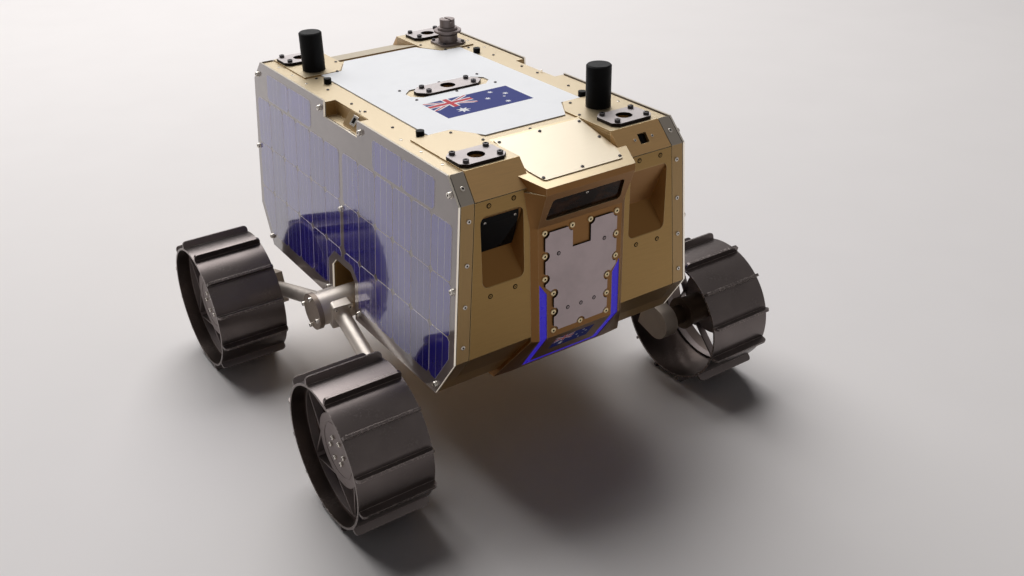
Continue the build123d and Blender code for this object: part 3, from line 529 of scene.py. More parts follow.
def white_paint(settings):
    """White thermal paint, rolled on sheet aluminium: a bright satin white with a faint orange peel and
    a slight greyness where it has been handled."""
    tree = new_material("white_thermal_paint")
    peel = grain(tree, 1.6, 2.0)
    handled = grain(tree, 45, 4.0)
    greyed = ranged(tree, handled, 0.5, 0.8, 0, 0.4)
    inputs = {
        "Base Color": mixed(tree, greyed, settings.radiator, toned(settings.radiator, 0.86)),
        "Roughness": ranged(tree, handled, 0.3, 0.7, 0.36, 0.46),
        "Normal": bumped(tree, peel, 0.01, 0.4),
    }
    set_shader(tree, inputs)


def black_moulding(settings):
    """Black acetal, turned and left matt: nearly black with a soft sheen and faint rings of the tool."""
    tree = new_material("black_acetal_turned")
    rings = grain(tree, (40, 40, 0.9), 2.0)
    scuffs = grain(tree, 9, 5.0)
    scuffed = mixed(tree, ranged(tree, scuffs, 0.55, 0.8, 0, 0.6), settings.black, linear("#1a1a1d"))
    inputs = {
        "Base Color": scuffed,
        "Roughness": ranged(tree, scuffs, 0.3, 0.7, 0.42, 0.56),
        "IOR": 1.48,
        "Specular IOR Level": 0.15,
        "Normal": bumped(tree, rings, 0.02, 0.5),
    }
    set_shader(tree, inputs)


def light_diffuser(settings):
    """Extruded silicone diffuser of a light strip: a saturated blue-violet with a soft gloss and a faint
    glow, lighter on its edges where it is thin."""
    tree = new_material("silicone_light_diffuser")
    cloud = grain(tree, 7, 2.0)
    thin, rounded = edges(tree, 2.2)
    body = mixed(tree, ranged(tree, cloud, 0.3, 0.7), settings.strip, toned(settings.strip, 0.85))
    inputs = {
        "Base Color": mixed(tree, thin, body, settings.strip_edge),
        "Roughness": ranged(tree, cloud, 0.3, 0.7, 0.26, 0.36),
        "IOR": 1.42,
        "Normal": rounded,
        "Emission Color": settings.strip,
        "Emission Strength": 0.2,
    }
    set_shader(tree, inputs)


def brushed_gold(name, settings, size, rough=BRUSHED, tone=None, top=None, film=0.75):
    """Brushed and gold-anodised aluminium: a satin metal with a clear oxide film, olive gold where it
    faces shade and painted cream where it faces up, as painted light. Its machined edges are painted
    paler, partly thin film and partly painted highlight. The brushing is drawn about three times as coarse
    as it is, so that it shows at all, and faint."""
    tree = new_material(name)
    lines = grain(tree, size, 4.0)
    clouds = grain(tree, 80, 2.0)
    edge_wear_and_highlight, rounded = edges(tree, 0.5)
    dark = toned(tone, 0.88) if tone else settings.gold_dark
    body = mixed(tree, ranged(tree, lines, 0.35, 0.65), dark, tone or settings.gold)
    body = mixed(tree, ranged(tree, clouds, 0.3, 0.8, 0, 0.35), body, dark)
    # Faces that look up take a paler cream: painted light from the lamp above
    top_light_mask = ranged(tree, facing_part(tree, 2), 0.85, 0.95)
    body = mixed(tree, top_light_mask, body, top or settings.gold_top_light)
    inputs = {
        # Sharp edges take the paler edge gold: partly thin film and partly painted highlight
        "Base Color": mixed(tree, computed(tree, "MULTIPLY", edge_wear_and_highlight, 0.75), body, settings.gold_edge),
        "Metallic": 1.0,
        "Roughness": ranged(tree, lines, 0.25, 0.75, *rough),
        "Normal": bumped(tree, lines, 0.01, 0.15, rounded),
        "Coat Weight": film,
        "Coat Roughness": 0.35,
        "Coat IOR": 1.7,
    }
    set_shader(tree, inputs)
    return tree


def blasted_grey(name, tone, side_shade_tone, axis):
    """Bead-blasted and grey-anodised aluminium: an even matt metal with a fine sparkle, light on the face
    that looks along an axis, with its sides painted dark as painted shade, and a thin paler line on its
    edges that is partly edge wear and partly painted highlight."""
    tree = new_material(name)
    beads = grain(tree, 0.9)
    stain = grain(tree, 30)
    edge_wear_and_highlight, rounded = edges(tree, 0.3)
    body = mixed(tree, ranged(tree, stain, 0.45, 0.8, 0, 0.5), tone, toned(tone, 0.72))
    # A thin paler line on the edges: partly edge wear and partly painted highlight
    body = mixed(tree, computed(tree, "MULTIPLY", edge_wear_and_highlight, 0.6), body, toned(tone, 1.25))
    inputs = {
        # Sides painted dark: painted shade
        "Base Color": mixed(tree, cut_sides(tree, axis), body, side_shade_tone),
        "Metallic": 0.85,
        "Roughness": ranged(tree, beads, 0.3, 0.7, 0.52, 0.64),
        "Normal": bumped(tree, beads, 0.02, 0.5, rounded),
    }
    set_shader(tree, inputs)


def wheel_metal(name, settings, centre, half_width):
    """Rolled and dark hard-anodised aluminium: outside, sand has worn it to a smooth grey-brown that takes
    a long highlight; inside the drum a darker tone is painted, as painted shade. Fine sand clings to the
    tips of the lugs and along the rims."""
    tree = new_material(name)
    rolled = grain(tree, (30, 2.2, 2.2), 3.0, centre)
    clouds = grain(tree, 40, 3.0, centre)
    sand = grain(tree, 2.6, 5.0, centre)
    edge_wear_and_highlight, rounded = edges(tree, 0.5)
    across, back = distance_from(tree, 1, centre[1]), distance_from(tree, 2, centre[2])
    squares = [computed(tree, "MULTIPLY", part, part) for part in (across, back)]
    radius = computed(tree, "SQRT", computed(tree, "ADD", *squares))
    tip = ranged(tree, radius, *(r * MM for r in LUG_DUST), 0, 0.5)
    rims = [(half_width - inset) * MM for inset in RIM_DUST]
    rim = ranged(tree, distance_from(tree, 0, centre[0]), *rims, 0, 0.5)
    loose = ranged(tree, sand, 0.5, 0.66)
    dust = computed(tree, "MULTIPLY", computed(tree, "MAXIMUM", tip, rim), loose)
    thin = ranged(tree, clouds, 0.5, 0.75, 0, 0.18)
    dust = computed(tree, "MAXIMUM", dust, computed(tree, "MULTIPLY", thin, loose))
    body = mixed(tree, ranged(tree, clouds, 0.3, 0.7), settings.wheel, toned(settings.wheel, 0.8))
    body = mixed(tree, computed(tree, "MULTIPLY", edge_wear_and_highlight, 0.85), body, settings.wheel_dust)
    # Inside the drum: painted shade
    inside = ranged(tree, radius, *(r * MM for r in DRUM_INSIDE))
    body = mixed(tree, inside, body, settings.wheel_inside_shade)
    inputs = {
        "Base Color": mixed(tree, dust, body, settings.wheel_dust),
        "Metallic": ranged(tree, dust, 0, 1, 1.0, 0.15),
        "Roughness": ranged(tree, dust, 0, 1, 0.3, 0.85),
        "Normal": bumped(tree, rolled, 0.01, 0.4, rounded),
    }
    set_shader(tree, inputs)


def panel_board(settings):
    """Glass-fibre board under a clear laminate: a tan grey with a faint weave under a mirror-smooth gloss.
    The cut edge of the clear laminate is painted pale and, where it looks sideways or down, glows faintly:
    painted light, so that it reads as a white line."""
    tree = new_material("laminated_panel_board")
    weave = grain(tree, 1.2, 2.0)
    tone = grain(tree, 60, 2.0)
    cut_edge = cut_sides(tree, 0)
    # Cut edges that look sideways or down glow: painted light
    painted_edge_glow = ranged(tree, facing_part(tree, 2), 0.2, 0.7, 0.5, 0)
    dark = toned(settings.board, 0.75)
    body = mixed(tree, ranged(tree, tone, 0.3, 0.7), settings.board, dark)
    body = mixed(tree, ranged(tree, weave, 0.4, 0.6, 0, 0.25), body, dark)
    inputs = {
        "Base Color": mixed(tree, cut_edge, body, settings.board_edge_and_glow),
        "Roughness": ranged(tree, cut_edge, 0, 1, 0.12, 0.3),
        "IOR": 1.6,
        "Coat Weight": 1.0,
        "Coat Roughness": 0.03,
        "Coat IOR": 1.6,
        "Emission Color": settings.board_edge_and_glow,
        "Emission Strength": computed(tree, "MULTIPLY", cut_edge, painted_edge_glow),
    }
    set_shader(tree, inputs)


def solar_silicon(settings):
    """Mono-crystalline silicon under coated glass: deep blue-violet that differs a little from cell to
    cell, with fine printed silver lines. The glass mirrors the pale floor, which washes it to lilac. The
    cells' rims and sides are painted pale and the sides glow faintly: painted light, so that the shade in
    the gaps between cells doesn't read as dark lines."""
    tree = new_material("silicon_cells_under_glass")
    out = computed(tree, "SUBTRACT", distance_from(tree, 1), FIRST_CELL * MM)
    along = computed(tree, "MODULO", out, CELL_PITCH * MM)
    offsets = [computed(tree, "SUBTRACT", along, line * MM) for line in SILVER_LINES]
    nearest = computed(tree, "MINIMUM", *(computed(tree, "ABSOLUTE", offset) for offset in offsets))
    silver = ranged(tree, nearest, SILVER_WIDTH * 0.65 * MM, SILVER_WIDTH * 0.35 * MM)
    step = computed(tree, "FLOOR", computed(tree, "DIVIDE", out, CELL_PITCH * MM))
    lot = add_node(tree, "TexWhiteNoise", {"W": step}, noise_dimensions="1D").outputs["Value"]
    haze = grain(tree, 38)
    body = mixed(tree, lot, settings.cell, settings.cell_light)
    body = mixed(tree, ranged(tree, haze, 0.45, 0.75, 0, 0.25), body, linear("#2c2748"))
    cut_edge = cut_sides(tree, 0)
    # Rims of each cell painted pale: painted light over the shade in the gaps
    edge_wear_and_highlight = edges(tree, 0.9)[0]
    body = mixed(tree, computed(tree, "MAXIMUM", silver, edge_wear_and_highlight), body, settings.busbar_and_edge_light)
    inputs = {
        "Base Color": mixed(tree, cut_edge, body, settings.board_edge_and_glow),
        "Roughness": ranged(tree, haze, 0.3, 0.7, 0.1, 0.18),
        "IOR": 1.9,
        "Coat Weight": 1.0,
        "Coat Roughness": 0.03,
        "Coat IOR": 1.62,
        # The cut sides glow faintly: painted light
        "Emission Color": settings.busbar_and_edge_light,
        "Emission Strength": computed(tree, "MULTIPLY", cut_edge, 0.22),
    }
    set_shader(tree, inputs)


def dress(node, material):
    """Gives a CAD node its finish in each of its material slots."""
    for slot in frame["nodes"][node].material_slots:
        slot.link = "OBJECT"
        slot.material = bpy.data.materials[material]


# Modelling; lengths are in metres, apart from places


def deselect_all():
    """Leaves edit mode and selects nothing."""
    if bpy.context.mode != "OBJECT":
        bpy.ops.object.mode_set(mode="OBJECT")
    bpy.ops.object.select_all(action="DESELECT")


def pick(*pieces):
    """Makes these pieces the whole selection, the first of them active."""
    deselect_all()
    for piece in pieces:
        piece.select_set(True)
    bpy.context.view_layer.objects.active = pieces[0]


def select_faces(piece, test):
    """Goes into edit mode with only the faces selected that pass a test."""
    pick(piece)
    bpy.ops.object.mode_set(mode="EDIT")
    bpy.ops.mesh.select_mode(type="FACE")
    bpy.ops.mesh.select_all(action="DESELECT")
    mesh = bmesh.from_edit_mesh(piece.data)
    for face in mesh.faces:
        face.select_set(bool(test(face)))
    bmesh.update_edit_mesh(piece.data)


def fix_transform(piece):
    """Puts the piece's place, turn and scale into its mesh."""
    pick(piece)
    bpy.ops.object.transform_apply(location=True, rotation=True, scale=True)


def join(name, pieces):
    """Makes one piece of several, named and fixed in place."""
    pick(*pieces)
    if len(pieces) > 1:
        bpy.ops.object.join()
    joined = bpy.context.object
    joined.name = joined.data.name = name
    fix_transform(joined)
    return joined


def coat(piece, *materials):
    """Gives a modelled piece its finishes, one for each slot."""
    piece.data.materials.clear()
    for material in materials:
        piece.data.materials.append(bpy.data.materials[material])


def cut(piece, tool):
    """Takes a tool's volume out of a piece, and the tool away, and smooths the piece."""
    pick(piece)
    bpy.ops.object.modifier_add(type="BOOLEAN")
    modifier = piece.modifiers[-1]
    modifier.operation = "DIFFERENCE"
    modifier.object = tool
    bpy.ops.object.modifier_apply(modifier=modifier.name)
    bpy.data.objects.remove(tool)
    pick(piece)
    bpy.ops.object.shade_smooth_by_angle(angle=radians(35))


def turned_disc(radius, height, rim, steps=2, sides=20):
    """Round head on the XY plane with a rounded top rim."""
    deselect_all()
    bpy.ops.mesh.primitive_cylinder_add(
        vertices=sides, radius=radius, depth=height, location=(0, 0, height / 2)
    )
    disc = bpy.context.object
    fix_transform(disc)
    select_faces(disc, lambda face: face.normal.z > 0.9)
    bpy.ops.mesh.bevel(offset=rim, segments=steps, affect="EDGES")
    bpy.ops.object.mode_set(mode="OBJECT")
    return disc


def socket_screw(radius, height, rim, socket, material, steps=2):
    """Screw head with a hexagonal socket sunk into its top, down to just under half its height; the socket
    is painted dark, as painted shade.
    """
    head = turned_disc(radius, height, rim, steps)
    deselect_all()
    bpy.ops.mesh.primitive_cylinder_add(
        vertices=6, radius=socket, depth=height, location=(0, 0, height * 0.95)
    )
    cut(head, bpy.context.object)
    coat(head, material, "socket_shade")
    # The socket's faces lie within its radius, below the head's top and above its foot
    for face in head.data.polygons:
        x, y, z = face.center
        sunk = hypot(x, y) < socket * 0.99 and height * 0.1 < z < height * 0.98
        face.material_index = 1 if sunk else 0
    return head


def sunk_screw(radius, material):
    """Screw in a countersink of a radius: a low ring painted dark as the countersink's painted shade, with
    the smaller head in its middle.
    """
    # The dark ring stands in for the countersink's shade: painted shade
    ring = washer(radius=radius, bore=radius * 0.62, thick=0.25 * MM, material="socket_shade")
    head = socket_screw(
        radius=radius * 0.6, height=0.4 * MM, rim=0.15 * MM, socket=radius * 0.28, material=material
    )
    return join("sunk_screw", [ring, head])


def washer(radius, bore, thick, material):
    """Flat ring with softened rims on the XY plane."""
    ring = turned_disc(radius, thick, thick * 0.35, sides=24)
    deselect_all()
    bpy.ops.mesh.primitive_cylinder_add(vertices=20, radius=bore, depth=4 * thick)
    cut(ring, bpy.context.object)
    coat(ring, material)
    return ring


def repeat(name, master, places, body="rover_body"):
    """Copies a modelled piece to each place, joins the copies and lets them ride on a body."""
    copies = []
    for place in places:
        one = master.copy()
        one.data = master.data.copy()
        bpy.context.collection.objects.link(one)
        one.matrix_world = place
        copies.append(one)
    joined = join(name, copies)
    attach(joined, body)


def drop(*masters):
    """Takes the pieces away that were only modelled to be repeated."""
    for master in masters:
        bpy.data.objects.remove(master)


# Places, in millimetres


def box_of(node):
    """Lowest and highest corner of a CAD node's box."""
    return [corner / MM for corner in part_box(node)]


def middle_of(node):
    """Middle of a CAD node's box."""
    low, high = box_of(node)
    return (low + high) / 2


def outermost(node, side):
    """X of a CAD node's face that lies farthest out on a side."""
    low, high = box_of(node)
    return high.x if side > 0 else low.x


def facing(x, y, z, normal):
    """Place of a piece modelled on the XY plane that faces along a normal."""
    turn = Vector(normal).normalized().to_track_quat("Z", "Y").to_matrix().to_4x4()
    return Matrix.Translation(Vector((x, y, z)) * MM) @ turn


def on_top(spots, z):
    """Places that face up at a height; each spot is (x, y)."""
    return [facing(x, y, z, (0, 0, 1)) for x, y in spots]


def on_front(spots, y):
    """Places that face forwards at a distance in front of the middle; each spot is (x, z)."""
    return [facing(x, -y, z, (0, -1, 0)) for x, z in spots]


def on_circle(x, middle, side, radius, count, first=0):
    """Places round a circle on a face that looks out to a side, the first at an angle in degrees."""
    angles = [radians(first + 360 / count * step) for step in range(count)]
    spots = [(middle.y + radius * cos(angle), middle.z + radius * sin(angle)) for angle in angles]
    return [facing(x, y, z, (side, 0, 0)) for y, z in spots]


def on_chamfer(x, end):
    """Place in the middle of the slope above an end face."""
    run, fall = CHAMFER
    return facing(x, end * (HALF_LENGTH - run / 2), LID_Z - fall / 2, (0, end * fall, run))


def on_hood(x, y):
    """Place on the hood's cover, at a distance in front of the middle."""
    z = LID_Z - (y - HOOD_START_Y) * HOOD_SLOPE + COVER_THICK
    return facing(x, -y, z, (0, -HOOD_SLOPE, 1))


def side_half_width(z):
    """Half of the body's width at a height."""
    return TOP_HALF_WIDTH + (LID_Z - z) * SIDE_SPLAY


def leaning(forward, down):
    """Normal of a leaning front face, and the direction up along it."""
    return Vector((0, -forward, -down)).normalized(), Vector((0, -down, forward)).normalized()


def mirrored(spots):
    """Each (x, y) on both sides and at both ends, once each."""
    found = []
    for x, y in spots:
        for side in SIDES.values():
            for end in ENDS:
                if (side * x, end * y) not in found:
                    found.append((side * x, end * y))
    return found


class ROVER_OT_finishes(bpy.types.Operator):
    """Gives each piece of the rover its real finish"""

    bl_idname = "rover.finishes"
    bl_label = "Finishes"

    def execute(self, context):
        settings = context.scene.rover_finishes
        self.add_golds(settings)
        self.add_greys(settings)
        white_paint(settings)
        black_moulding(settings)
        panel_board(settings)
        solar_silicon(settings)
        light_diffuser(settings)
        dark_window("coated_dark_glass", settings.glass, linear("#110c0a"))
        dark_window("amber_tinted_glass", settings.glass_amber, linear("#4a2c18"))
        decal_ink("decal_ink_blue", settings.decal_blue)
        decal_ink("decal_ink_red", settings.decal_red)
        decal_ink("decal_ink_white", settings.decal_white)
        for subpart in frame["record"]["subparts"]:
            node, slot = subpart["node"], subpart["material_slot"]
            dress(node, OWN_FINISHES.get(node) or SLOT_FINISHES[slot])
        return {"FINISHED"}

    def add_golds(self, settings):
        """Adds the gold films, brushed along the longest side of what wears them."""
        line, run = settings.brush_line / MM, settings.brush_length / MM
        across, along, upright = (run, line, line), (line, run, line), (line, line, run)
        cover, facet, dark = settings.gold_cover_top_light, settings.gold_facet, settings.gold_dark
        brushed_gold("gold_brushed_across", settings, across)
        brushed_gold("gold_brushed_along", settings, along, SATIN)
        brushed_gold("gold_satin_lids", settings, across, SATIN)
        # The hood cover and the ramp take a near-white cream on faces that look up: painted light
        brushed_gold("gold_cover_painted_top_light", settings, across, SATIN, top=cover)
        # The slanted facets take a paler gold: painted light
        brushed_gold("gold_brushed_facets", settings, across, SATIN, tone=facet)
        brushed_gold("gold_blasted_ramp", settings, line, BLASTED, top=cover)
        # The nose takes a darker gold: painted shade
        brushed_gold("gold_brushed_nose", settings, across, tone=settings.gold_nose, film=0.35)
        # The cheeks take the grain's darker gold as their tone, a darker copy of the body's gold: painted
        # shade
        tree = brushed_gold("gold_with_painted_pocket_shade", settings, across, tone=dark, film=0.3)
        # Painted shade: the camera pockets take a darker gold. The pocket's mask starts just behind the
        # cheek's face, and the slope's reaches a little past it
        milled = within(tree, 1, -HALF_LENGTH + 0.5, 0), within(tree, 2, *POCKET_Z)
        painted_over(tree, computed(tree, "MULTIPLY", *milled), settings.gold_pocket_shade)
        # The rails take the same darker gold as their tone: painted shade
        tree = brushed_gold("gold_with_worn_slope", settings, upright, tone=dark)
        worn = within(tree, 2, LID_Z - CHAMFER[1] - 0.3, LID_Z + 1)
        painted_over(tree, worn, settings.worn_edge)

    def add_greys(self, settings):
        """Adds the grey plates, the plated screws, the satin aluminium and the wheels' metal."""
        blasted_grey("grey_anodised_plate", settings.plate_grey, settings.plate_side_shade, 2)
        blasted_grey("lilac_anodised_plate", settings.plate_lilac, settings.plate_side_shade, 1)
        plated_metal("gold_anodised_screw", settings.gold, 0.35, 0.45)
        plated_metal("black_oxide_steel", settings.black_oxide, 0.32, 0.42)
        plated_metal("socket_shade", linear("#100f10"), 0.5, 0.6)
        plated_metal("stainless_steel", settings.steel, 0.2, 0.3)
        plated_metal("gold_plated_steel", settings.gold_edge, 0.3, 0.4)
        satin_aluminium("satin_clear_anodised", settings.arm)
        # Caps and knuckles: darker copies of the satin aluminium, painted shade
        satin_aluminium("grey_brown_shaded_aluminium", settings.arm_cap)
        satin_aluminium("brown_shaded_aluminium", settings.knuckle)
        # The drive motors take a dark bronze tone
        satin_aluminium("dark_bronze_aluminium", settings.motor)
        satin_aluminium("grey_anodised_pillar", settings.hub)
        satin_aluminium("grey_hard_anodised", settings.hub)
        for name in CORNERS:
            low, high = box_of(f"wheel_{name}")
            wheel_metal(f"wheel_metal_{name}", settings, (low + high) / 2, (high.x - low.x) / 2)


class ROVER_OT_deck_screws(bpy.types.Operator):
    """Cap screws of the payload plates and the small screws of the deck, radiator and lids"""

    bl_idname = "rover.deck_screws"
    bl_label = "Deck screws"

    def execute(self, context):
        sizes = context.scene.rover_hardware
        cap = socket_screw(
            radius=sizes.cap_head,
            height=sizes.cap_height,
            rim=0.35 * MM,
            socket=1.9 * MM,
            material="black_oxide_steel",
        )
        outer = box_of("corner_mount_plates")[1]
        corners = mirrored([(outer.x - PLATE_HALF[0], outer.y - PLATE_HALF[1])])
        bolts = [(x + dx, y + dy) for x, y in corners for dx, dy in mirrored([PLATE_BOLT])]
        places = on_top(bolts, PLATE_Z) + on_top(mirrored([CENTRE_PLATE_BOLT]), CENTRE_PLATE_Z)
        repeat("plate_cap_screws", cap, places)

        bolt = socket_screw(
            radius=2.4 * MM, height=2.4 * MM, rim=0.3 * MM, socket=1.2 * MM, material="black_oxide_steel"
        )
        pillar = middle_of("connector_pillar")
        bolts = [(pillar.x + dx, pillar.y + dy) for dx, dy in mirrored([PILLAR_BOLT])]
        repeat("pillar_bolts", bolt, on_top(bolts, LID_Z + PILLAR_FLANGE))

        dark = socket_screw(
            radius=sizes.small_head,
            height=1.1 * MM,
            rim=0.4 * MM,
            socket=0.9 * MM,
            material="black_oxide_steel",
        )
        places = on_top(mirrored(RADIATOR_SCREWS), RADIATOR_Z)
        places += on_top(mirrored(DECK_SCREWS) + [LONE_DECK_SCREW], DECK_Z)
        places += on_top(mirrored(LID_SCREWS), LID_Z)
        repeat("small_deck_screws", dark, places)

        bright = socket_screw(
            radius=1.9 * MM, height=0.6 * MM, rim=0.25 * MM, socket=0.9 * MM, material="stainless_steel"
        )
        repeat("deck_edge_screws", bright, on_top(mirrored(DECK_EDGE_SCREWS), DECK_Z))
        drop(cap, bolt, dark, bright)
        return {"FINISHED"}


class ROVER_OT_end_screws(bpy.types.Operator):
    """Button screws of the rails, cheeks and hood cover"""

    bl_idname = "rover.end_screws"
    bl_label = "End screws"

    def execute(self, context):
        sizes = context.scene.rover_hardware
        button = socket_screw(
            radius=sizes.button_head,
            height=1.4 * MM,
            rim=0.7 * MM,
            socket=1.35 * MM,
            material="stainless_steel",
            steps=3,
        )
        rails, slopes = [], []
        below, slope_inset = SLOPE_SCREW
        for end in ENDS:
            for side in SIDES.values():
                for z, inset in RAIL_SCREWS:
                    x = side * (side_half_width(z) - inset)
                    rails.append(facing(x, end * HALF_LENGTH, z, (0, end, 0)))
                slopes.append(on_chamfer(side * (side_half_width(LID_Z - below) - slope_inset), end))
        repeat("rail_screws", button, rails + slopes)

        dull = sunk_screw(3.0 * MM, "gold_anodised_screw")
        spots = [(side * x, z) for side in SIDES.values() for x, z in CHEEK_SCREWS]
        repeat("cheek_screws", dull, on_front(spots, HALF_LENGTH))

        dark = socket_screw(
            radius=2.1 * MM,
            height=1.0 * MM,
            rim=0.5 * MM,
            socket=0.95 * MM,
            material="black_oxide_steel",
        )
        repeat("hood_cover_screws", dark, [on_hood(x, y) for x, y in COVER_SCREWS])

        small = socket_screw(
            radius=sizes.small_head,
            height=1.0 * MM,
            rim=0.5 * MM,
            socket=0.95 * MM,
            material="stainless_steel",
        )
        centre = middle_of("facet_sensor").x
        places = [on_chamfer(centre + shift, -1) for shift in FACET_SENSOR_SCREWS]
        repeat("facet_sensor_screws", small, places)
        drop(button, dull, dark, small)
        return {"FINISHED"}


class ROVER_OT_nose_screws(bpy.types.Operator):
    """Low gold screws round the nose plate, and the plate's own small screws"""

    bl_idname = "rover.nose_screws"
    bl_label = "Nose screws"

    def execute(self, context):
        sizes = context.scene.rover_hardware
        low_head = socket_screw(
            radius=sizes.nose_head,
            height=1.5 * MM,
            rim=0.8 * MM,
            socket=1.5 * MM,
            material="gold_plated_steel",
            steps=3,
        )
        spots = [(side * x, z) for x, z in NOSE_SCREWS for side in SIDES.values()]
        places = on_front([*spots, LOWEST_NOSE_SCREW], NOSE_FACE_Y)
        repeat("nose_screws", low_head, places)
        small = sunk_screw(2.6 * MM, "lilac_anodised_plate")
        places = on_front(NOSE_PLATE_SCREWS, NOSE_PLATE_Y)
        repeat("nose_plate_screws", small, places)
        drop(low_head, small)
        return {"FINISHED"}


class ROVER_OT_panel_screws(bpy.types.Operator):
    """Bright screws that hold the side panels on their spacers"""

    bl_idname = "rover.panel_screws"
    bl_label = "Panel screws"

    def execute(self, context):
        sizes = context.scene.rover_hardware
        head = socket_screw(
            radius=sizes.panel_head,
            height=sizes.panel_height,
            rim=0.7 * MM,
            socket=1.5 * MM,
            material="stainless_steel",
        )
        ring = washer(radius=4.2 * MM, bore=2.0 * MM, thick=0.6 * MM, material="stainless_steel")
        spots = [(end * y, z) for y, z in PANEL_SCREWS for end in ENDS] + [MIDDLE_PANEL_SCREW]
        for name, side in SIDES.items():
            places = []
            for y, z in spots:
                x = side * (side_half_width(z) + PANEL_FACE)
                places.append(facing(x, y, z, (side, 0, SIDE_SPLAY)))
            repeat(f"panel_screws_{name}", head, places)
            repeat(f"panel_washers_{name}", ring, places)
        drop(head, ring)
        return {"FINISHED"}


class ROVER_OT_rocker_screws(bpy.types.Operator):
    """Screws on the caps, clamps and knuckles of the rockers"""

    bl_idname = "rover.rocker_screws"
    bl_label = "Rocker screws"

    def execute(self, context):
        tall = socket_screw(
            radius=3.0 * MM, height=4.2 * MM, rim=0.5 * MM, socket=1.5 * MM, material="stainless_steel"
        )
        screw = socket_screw(
            radius=2.3 * MM, height=1.8 * MM, rim=0.7 * MM, socket=1.15 * MM, material="stainless_steel"
        )
        for name, side in SIDES.items():
            cap = f"housing_cap_{name}"
            radius, first = CAP_CIRCLE
            places = on_circle(outermost(cap, side), middle_of(cap), side, radius, 4, first)
            repeat(f"cap_screws_{name}", tall, places)
            repeat(f"clamp_screws_{name}", screw, clamp_places(name, side))
            repeat(f"knuckle_screws_{name}", screw, knuckle_places(name, side))
        drop(tall, screw)
        return {"FINISHED"}


def knuckle_places(name, side):
    """Four screws on each knuckle's outer face, round the motor's neck."""
    radius, first = KNUCKLE_CIRCLE
    outer = outermost(f"knuckles_{name}", side)
    places = []
    for end in ("front", "rear"):
        places += on_circle(outer, middle_of(f"wheel_{end}_{name}"), side, radius, 4, first)
    return places


def clamp_places(name, side):
    """Two screws on each clamp's outer end, above the arm."""
    top_x, top_z = ARM_TOP
    top = Vector((side * top_x, 0, top_z))
    wheel = middle_of(f"wheel_front_{name}")
    places = []
    for end in ENDS:
        along = (Vector((side * ARM_FOOT_X, -end * wheel.y, wheel.z)) - top).normalized()
        across = (Vector((1, 0, 0)) - along * along.x).normalized()
        rise = along.cross(across)
        rise = rise if rise.z > 0 else -rise
        for shift in (-CLAMP_SPREAD, CLAMP_SPREAD):
            spot = top + along * CLAMP_ALONG + rise * CLAMP_RISE + across * shift
            places.append(facing(*spot, along))
    return places


class ROVER_OT_hub_fittings(bpy.types.Operator):
    """Screws and the turned ring on each wheel's hub"""

    bl_idname = "rover.hub_fittings"
    bl_label = "Hub fittings"

    def execute(self, context):
        sizes = context.scene.rover_hardware
        half_ring = 1.1 * MM
        ring = washer(
            radius=sizes.hub_ring + half_ring,
            bore=sizes.hub_ring - half_ring,
            thick=0.5 * MM,
            material="grey_hard_anodised",
        )
        screw = socket_screw(
            radius=3.2 * MM,
            height=2.8 * MM,
            rim=1.2 * MM,
            socket=1.5 * MM,
            material="stainless_steel",
            steps=3,
        )
        for name in CORNERS:
            hub, body = f"wheel_hub_{name}", f"{name}_wheel"
            side = SIDES[name.split("_")[1]]
            outer, middle = outermost(hub, side), middle_of(hub)
            screws = on_circle(outer, middle, side, sizes.hub_circle / MM, 6)
            repeat(f"hub_screws_{name}", screw, screws, body)
            face = facing(outer, middle.y, middle.z, (side, 0, 0))
            repeat(f"hub_ring_{name}", ring, [face], body)
        drop(ring, screw)
        return {"FINISHED"}


class ROVER_OT_optics(bpy.types.Operator):
    """Sensors and screws of the camera window, the hood window and the side brackets"""

    bl_idname = "rover.optics"
    bl_label = "Optics"

    def execute(self, context):
        small = socket_screw(
            radius=1.7 * MM, height=1.0 * MM, rim=0.45 * MM, socket=0.85 * MM, material="stainless_steel"
        )
        normal, up = leaning(*CAMERA_WINDOW_LEAN)
        face = middle_of("camera_window") + normal * CAMERA_WINDOW_THICK / 2
        spots = [face + up * rise + Vector((shift, 0, 0)) for shift, rise in CAMERA_SCREWS]
        places = [facing(*spot, normal) for spot in spots]
        repeat("camera_window_screws", small, places)

        normal, up = leaning(*HOOD_WINDOW_LEAN)
        face = middle_of("hood_window") + normal * HOOD_WINDOW_THICK / 2
        place = facing(*(face + up * HOOD_WINDOW_SCREW_UP), normal)
        repeat("hood_window_screw", small, [place])

        module = sensor_module()
        for name, side in SIDES.items():
            low, high = box_of(f"side_sensor_{name}")
            x, y, z = (low + high) / 2
            slope = (side * (high.z - low.z - SENSOR_TOE), 0, high.x - low.x)
            place = facing(x, y, z + SENSOR_TOE / 2, slope)
            repeat(f"side_sensor_module_{name}", module, [place])
        drop(small, module)
        return {"FINISHED"}


